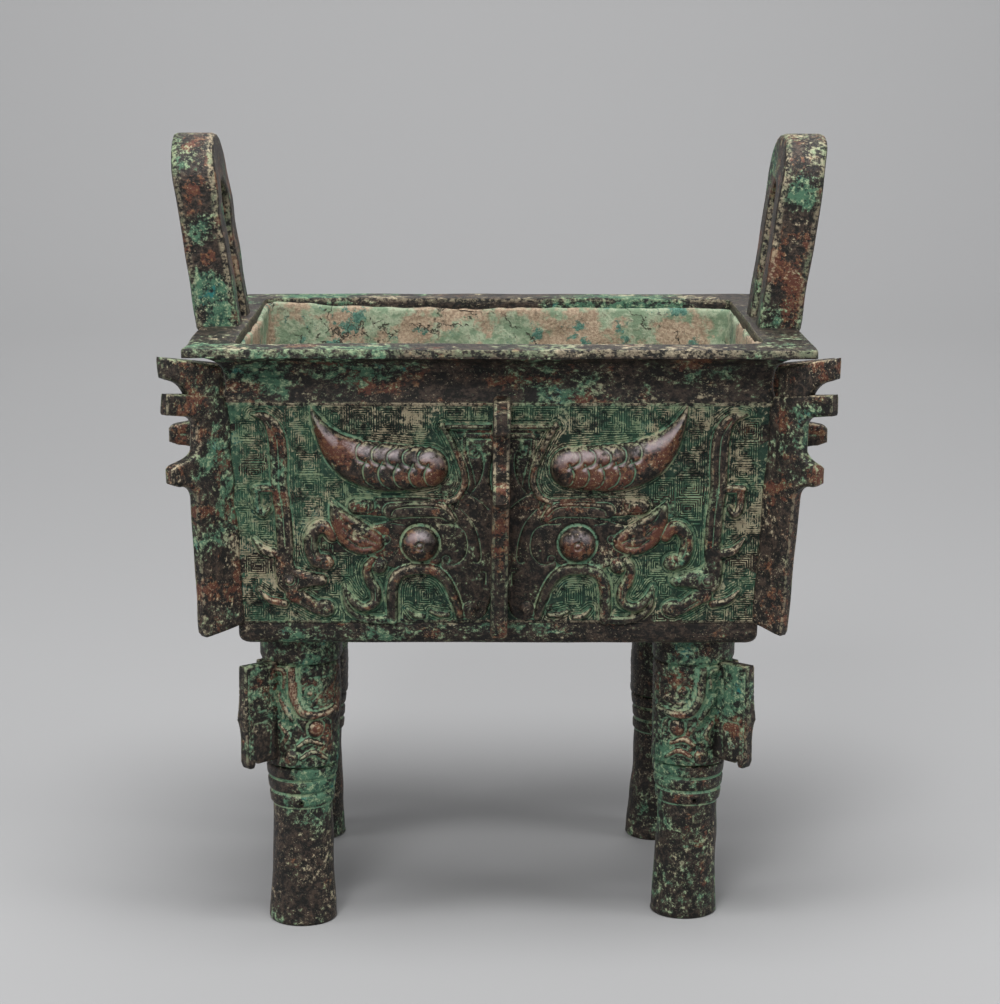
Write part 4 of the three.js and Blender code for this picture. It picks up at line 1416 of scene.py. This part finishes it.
def legColumn(side, end, off, stray, seed):
    collarZ = floorZ - legs["collarLength"]
    ringTop = collarZ - legs["maskLength"]
    ringBottom = ringTop - legs["rings"] * legs["ringPitch"]
    z = np.concatenate([
        np.linspace(0, 1.2, 3),
        np.linspace(2.4, ringBottom - 0.6, 20),
        np.linspace(ringBottom, ringTop, 30),
        np.linspace(ringTop + 0.5, collarZ - 0.3, 78),
        np.linspace(collarZ, floorZ + 1.5, 12),
    ])
    around = legs["around"]
    angle = np.arange(around) * 2 * math.pi / around
    zz, aa = np.meshgrid(z, angle, indexing="ij")
    radius, groove = legRadius(zz, ringBottom, ringTop)
    inMask = (zz > ringTop) & (zz < collarZ)
    edge = np.clip(np.minimum(zz - ringTop, collarZ - zz) / 0.9, 0, 1)
    taper = legs["maskTaper"] * np.clip((collarZ - zz) / legs["maskLength"], 0, 1)
    radius = np.where(inMask, legs["maskRadius"] - taper - 0.9 * (1 - np.sqrt(1 - (1 - edge) ** 2)), radius)
    collar = legs["collarRadius"] - 1.2 * np.exp(-((zz - collarZ) / 0.9) ** 2)
    radius = np.where(zz >= collarZ, collar, radius)
    radius = np.where(zz < 0.6, radius - 0.5, radius)
    outward = math.atan2(end, side)
    turn = np.abs((aa - outward + math.pi) % (2 * math.pi) - math.pi)
    arc = turn * legs["maskRadius"]
    up = zz - ringTop
    cuts = [(0.4, 0.5, rows) for rows in legLines]
    cuts += [(0.38, 0.5, spiral(*curl)) for curl in legCurls]
    rings = [(0.4, 0.5, centre, size) for centre, size in legRings]
    height, cut = carved(arc, up, legForms, legBosses, cuts, rings)
    # a fret of square lines on the mask's ground
    wave = 2 * math.pi / legs["fret"]
    fret = np.clip(np.sin(arc * wave) * np.sin(up * wave) * 3, -1, 1) * 0.12
    height = np.where(inMask & (arc < 32), height - cut + fret * (height < 0.3), 0)
    carving = np.clip((height - blurred(height, 2)) / 0.5, -1, 1)
    carving = np.where(groove > 0.45, -0.9, carving)
    radius = radius + height
    # a pin hole left by casting, on the front of the two front legs
    if end < 0:
        hole = np.hypot((aa - 1.53 * math.pi - 0.06 * side) * legs["shaftRadius"], zz - ringBottom - 1.6)
        radius = radius - 2.2 * np.exp(-(hole / 0.75) ** 4)
        carving = np.where(hole < 0.9, 0, carving)
    cx, cy = legPlace(side, end, off, stray, np.clip(1 - zz / collarZ, 0, 1))
    points = np.stack([cx + radius * np.cos(aa), cy + radius * np.sin(aa), zz], axis=-1).reshape(-1, 3)
    wobble = 0.14 * rumple(points, 16, seed) * (points[:, 2] > 1) * (points[:, 2] < collarZ)
    points[:, 0] += wobble * np.cos(aa).ravel()
    points[:, 1] += wobble * np.sin(aa).ravel()
    points, faces = closedSkin(points.reshape(len(z), around, 3))
    return points, faces, carving.ravel(), np.clip(height / 1.6, 0, 1).ravel()


def legBlade(side, end, off, stray):
    collarZ = floorZ - legs["collarLength"]
    top = collarZ + 1.6
    length, reach = legs["bladeLength"], legs["bladeReach"]
    bottom = top - length
    root = legs["maskRadius"] - vessel["wall"]
    loop = outline(
        (root, bottom + 1.4), (reach - 5.6, bottom + 1.4), (reach - 4.6, bottom + 2.4),
        (reach - 3.8, bottom + 0.6), (reach - 3, bottom - 0.4, reach - 1.4, bottom + 0.6),
        (reach - 0.6, bottom + 2.6), (reach - 0.6, bottom + length * 0.3),
        (reach - 0.4, bottom + length * 0.42, reach + 0.8, bottom + length * 0.48),
        (reach - 0.2, bottom + length * 0.62, reach - 0.2, bottom + length * 0.7),
        (reach - 0.4, top), (root, top - 0.4),
    )
    left, right = legs["maskRadius"] + 2.4, reach - 3
    middle = bottom + length * 0.5
    high, low = top - 2.4, bottom + 4
    cuts = [
        [(reach - 1.6, top - 2), (reach - 1.6, low)],
        [(left, high), (left, middle + 3), (right - 1.4, middle + 2.2), (right, middle + 5), (right, high)],
        [(left - 1.2, middle), (right + 0.6, middle)],
        [(left, low), (left, middle - 3.6), (right - 1, middle - 2.4), (right, middle - 5), (right, low)],
    ]
    points, faces, carving = plate(loop, flange["cornerThickness"], 1.1, cuts, spacing=1.0)
    foot = legPlace(side, end, off, stray, length / 2 / collarZ)
    placed = standPlate(points, math.atan2(end, side), foot)
    return placed, faces, carving, np.full(len(placed), 0.5)


def legPiece(material):
    parts = Parts()
    for i, stance in enumerate(legs["stance"]):
        parts.add(*legColumn(*stance, seed=40 + i))
        parts.add(*legBlade(*stance))
    return parts.piece("legs", material, 60)


# Putting it together

bodyBronze = bronzeMaterial("bodyBronze", (-0.065, -0.05, -0.03), [
    ((0, -72, 190), 26, (-0.06, 0.03, -0.02)),
    ((-72, -68, 183), 18, (0.04, 0.04, 0.025)),
    ((-24, -68, 184), 16, (0.04, 0.04, 0.03)),
    ((26, -68, 183), 14, (0, 0.07, 0.02)),
    ((74, -68, 184), 18, (0.03, 0, 0.01)),
    ((-84, -74, 196), 26, (0.07, 0, 0)),
    ((-40, -74, 197), 22, (0.05, 0, 0)),
    ((60, -74, 197), 26, (0.03, 0.04, 0.01)),
    ((0, -68, 104), 100, (0.07, 0.02, 0.02)),
    ((-60, 66, 199), 45, (0.13, 0, 0.03)),
    ((50, 66, 199), 50, (0.13, 0, 0.03)),
    ((-70, -80, 201), 44, (0.01, 0.03, 0.045)),
    ((40, -80, 201), 60, (0.02, 0.02, 0.04)),
], (0.8, 0.8, 1.1))
panelBronze = bronzeMaterial("panelBronze", (0.005, -0.06, 0.03), [
    ((-28, -68, 128), 24, (-0.04, -0.04, -0.02)),
    ((-88, -68, 120), 14, (0.12, -0.05, 0)),
    ((-90, -70, 150), 15, (0.12, -0.05, 0)),
    ((-90, -70, 176), 14, (0.12, -0.05, 0)),
    ((87, -68, 122), 14, (0.12, -0.05, 0)),
    ((50, -70, 178), 20, (0.05, 0, 0)),
    ((-70, -66, 165), 34, (0.08, 0, 0)),
    ((-84, -66, 130), 26, (0.06, 0, 0)),
    ((0, -66, 125), 40, (-0.08, -0.03, -0.02)),
    ((-30, -66, 145), 16, (-0.08, 0, -0.03)),
    ((30, -70, 160), 14, (-0.08, 0.07, 0)),
    ((-52, -70, 168), 9, (0, 0.12, 0)),
    ((-34, -70, 162), 15, (-0.1, -0.06, -0.01)),
    ((-47, -68, 136), 16, (-0.06, 0.1, 0)),
    ((47, -68, 136), 18, (-0.04, 0.12, 0)),
    ((60, -68, 138), 12, (-0.04, 0.12, 0)),
    ((78, -66, 160), 20, (0, 0.05, 0)),
])
groundBronze = bronzeMaterial("groundBronze", (0.12, -0.1, 0.075), [((0, -66, 125), 40, (-0.05, 0, -0.03))])
flangeBronze = bronzeMaterial("flangeBronze", (-0.015, -0.02, 0.015), [
    ((100, -78, 178), 12, (0.08, -0.03, 0)),
    ((104, -82, 164), 11, (-0.06, 0.08, 0)),
    ((98, -74, 130), 26, (-0.08, -0.04, 0.01)),
    ((-92, -70, 112), 14, (0.08, -0.05, 0)),
    ((-90, -70, 145), 44, (0.035, 0.01, 0.01)),
    ((-106, -84, 172), 9, (-0.06, 0.1, 0)),
    ((0, -84, 150), 60, (-0.07, 0.02, -0.02)),
])
handleBronze = bronzeMaterial("handleBronze", (0.0, 0.0, 0.0), [
    ((-105, -22, 264), 11, (-0.1, -0.05, 0.035)),
    ((-104, -22, 251), 6, (-0.1, 0.08, 0)),
    ((-103, -22, 243), 8, (-0.1, 0.14, -0.02)),
    ((-101, -22, 235), 9, (0.13, -0.1, -0.05)),
    ((-99, -22, 213), 15, (0.14, -0.1, -0.02)),
    ((-98, -22, 225), 6, (-0.1, 0.12, 0)),
    ((-96, -22, 203), 7, (0.1, -0.1, 0.06)),
    ((105, -22, 262), 11, (-0.1, -0.05, 0.035)),
    ((102, -22, 246), 9, (0.1, -0.04, 0)),
    ((98, -22, 222), 18, (-0.1, 0.07, 0)),
])
legBronze = bronzeMaterial("legBronze", (-0.02, -0.045, 0.002), [
    ((-66, -58, 76), 26, (0.055, 0.08, 0)),
    ((66, -58, 76), 26, (0.045, 0.06, 0)),
    ((-76, -58, 78), 18, (0.12, -0.04, 0)),
    ((-58, -60, 64), 13, (-0.06, 0.11, 0)),
    ((-62, -60, 50), 12, (0.08, -0.04, 0)),
    ((76, -58, 84), 16, (0.1, -0.04, 0)),
    ((60, -58, 52), 12, (0.06, -0.04, 0.02)),
    ((-66, -56, 20), 30, (-0.05, 0, 0.005)),
    ((66, -56, 20), 30, (-0.03, 0, 0.012)),
])

finish(bodyPiece(bodyBronze), "ding")
for quarter, name in enumerate(("rightRelief", "backRelief", "leftRelief", "frontRelief")):
    finish(reliefPanel(quarter, name, panelBronze))
threads = Parts()
for quarter in range(4):
    threads.add(*spiralGround(quarter, groundBronze))
finish(threads.piece("spiralGround", groundBronze, 30))
finish(liningPiece(liningMaterial()))
finish(cornerFlanges(flangeBronze))
finish(centreFlanges(flangeBronze))
finish(handlePair(handleBronze))
finish(legPiece(legBronze))


# Floor and light

studio = {
    # in metres and watts
    "paper": (0.315, 0.315, 0.318, 1),
    "flat": 1.6,
    "curve": 1.2,
    "rim": 1.5,
    "around": 72,
    "sky": (0.46, 0.465, 0.48, 1),
    "skyStrength": 0.55,
    "lights": {
        # place, what it is aimed at, size, power
        "topLight": ((0.0, -0.35, 1.5), (0, 0, 0.13), 0.9, 24),
        "frontLight": ((-0.4, -1.6, 1.3), (0, 0, 0.13), 0.6, 15),
        "leftLight": ((-1.6, -0.55, 0.75), (0, 0, 0.13), 0.8, 9),
        "rightLight": ((1.6, -0.5, 0.7), (0, 0, 0.13), 0.8, 10),
        "backLight": ((0.1, 1.0, 1.5), (0, 0, 0.13), 0.9, 5),
        "paperLight": ((0.0, 1.5, 1.6), (0, 2.8, 0.4), 1.0, 21.5),
    },
}


def addFloor():
    # a wide shallow bowl of paper, its rim above every view
    flat, curve, around = studio["flat"], studio["curve"], studio["around"]
    profile = [(0.4, 0), (flat, 0)]
    for a in range(6, 91, 6):
        profile.append((flat + curve * math.sin(a * degree), curve - curve * math.cos(a * degree)))
    profile.append((flat + curve, studio["rim"]))
    turns = [2 * math.pi * i / around for i in range(around)]
    points = [(r * math.cos(turn), r * math.sin(turn), z) for r, z in profile for turn in turns]
    faces = [face[::-1] for face in gridFaces(len(profile), around, closed=True)]
    faces.append(list(range(around)))
    mesh = bpy.data.meshes.new("floor")
    mesh.from_pydata(points, [], faces)
    mesh.polygons.foreach_set("use_smooth", [True] * len(faces))
    paper = bpy.data.materials.new("floorPaper")
    paper.use_nodes = True
    shader = paper.node_tree.nodes["Principled BSDF"]
    shader.inputs["Base Color"].default_value = studio["paper"]
    shader.inputs["Roughness"].default_value = 0.9
    mesh.materials.append(paper)
    floor = bpy.data.objects.new("floor", mesh)
    bpy.context.scene.collection.objects.link(floor)


def addLights():
    world = bpy.data.worlds.new("studio")
    world.use_nodes = True
    background = world.node_tree.nodes["Background"]
    background.inputs["Color"].default_value = studio["sky"]
    background.inputs["Strength"].default_value = studio["skyStrength"]
    bpy.context.scene.world = world
    for name, (place, aim, size, power) in studio["lights"].items():
        data = bpy.data.lights.new(name, "AREA")
        data.shape = "DISK"
        data.size = size
        data.energy = power
        lamp = bpy.data.objects.new(name, data)
        lamp.location = place
        lamp.rotation_euler = (Vector(aim) - Vector(place)).to_track_quat("-Z", "Y").to_euler()
        bpy.context.scene.collection.objects.link(lamp)


addFloor()
addLights()
bpy.context.scene.view_settings.view_transform = "Standard"
print("studio ready")
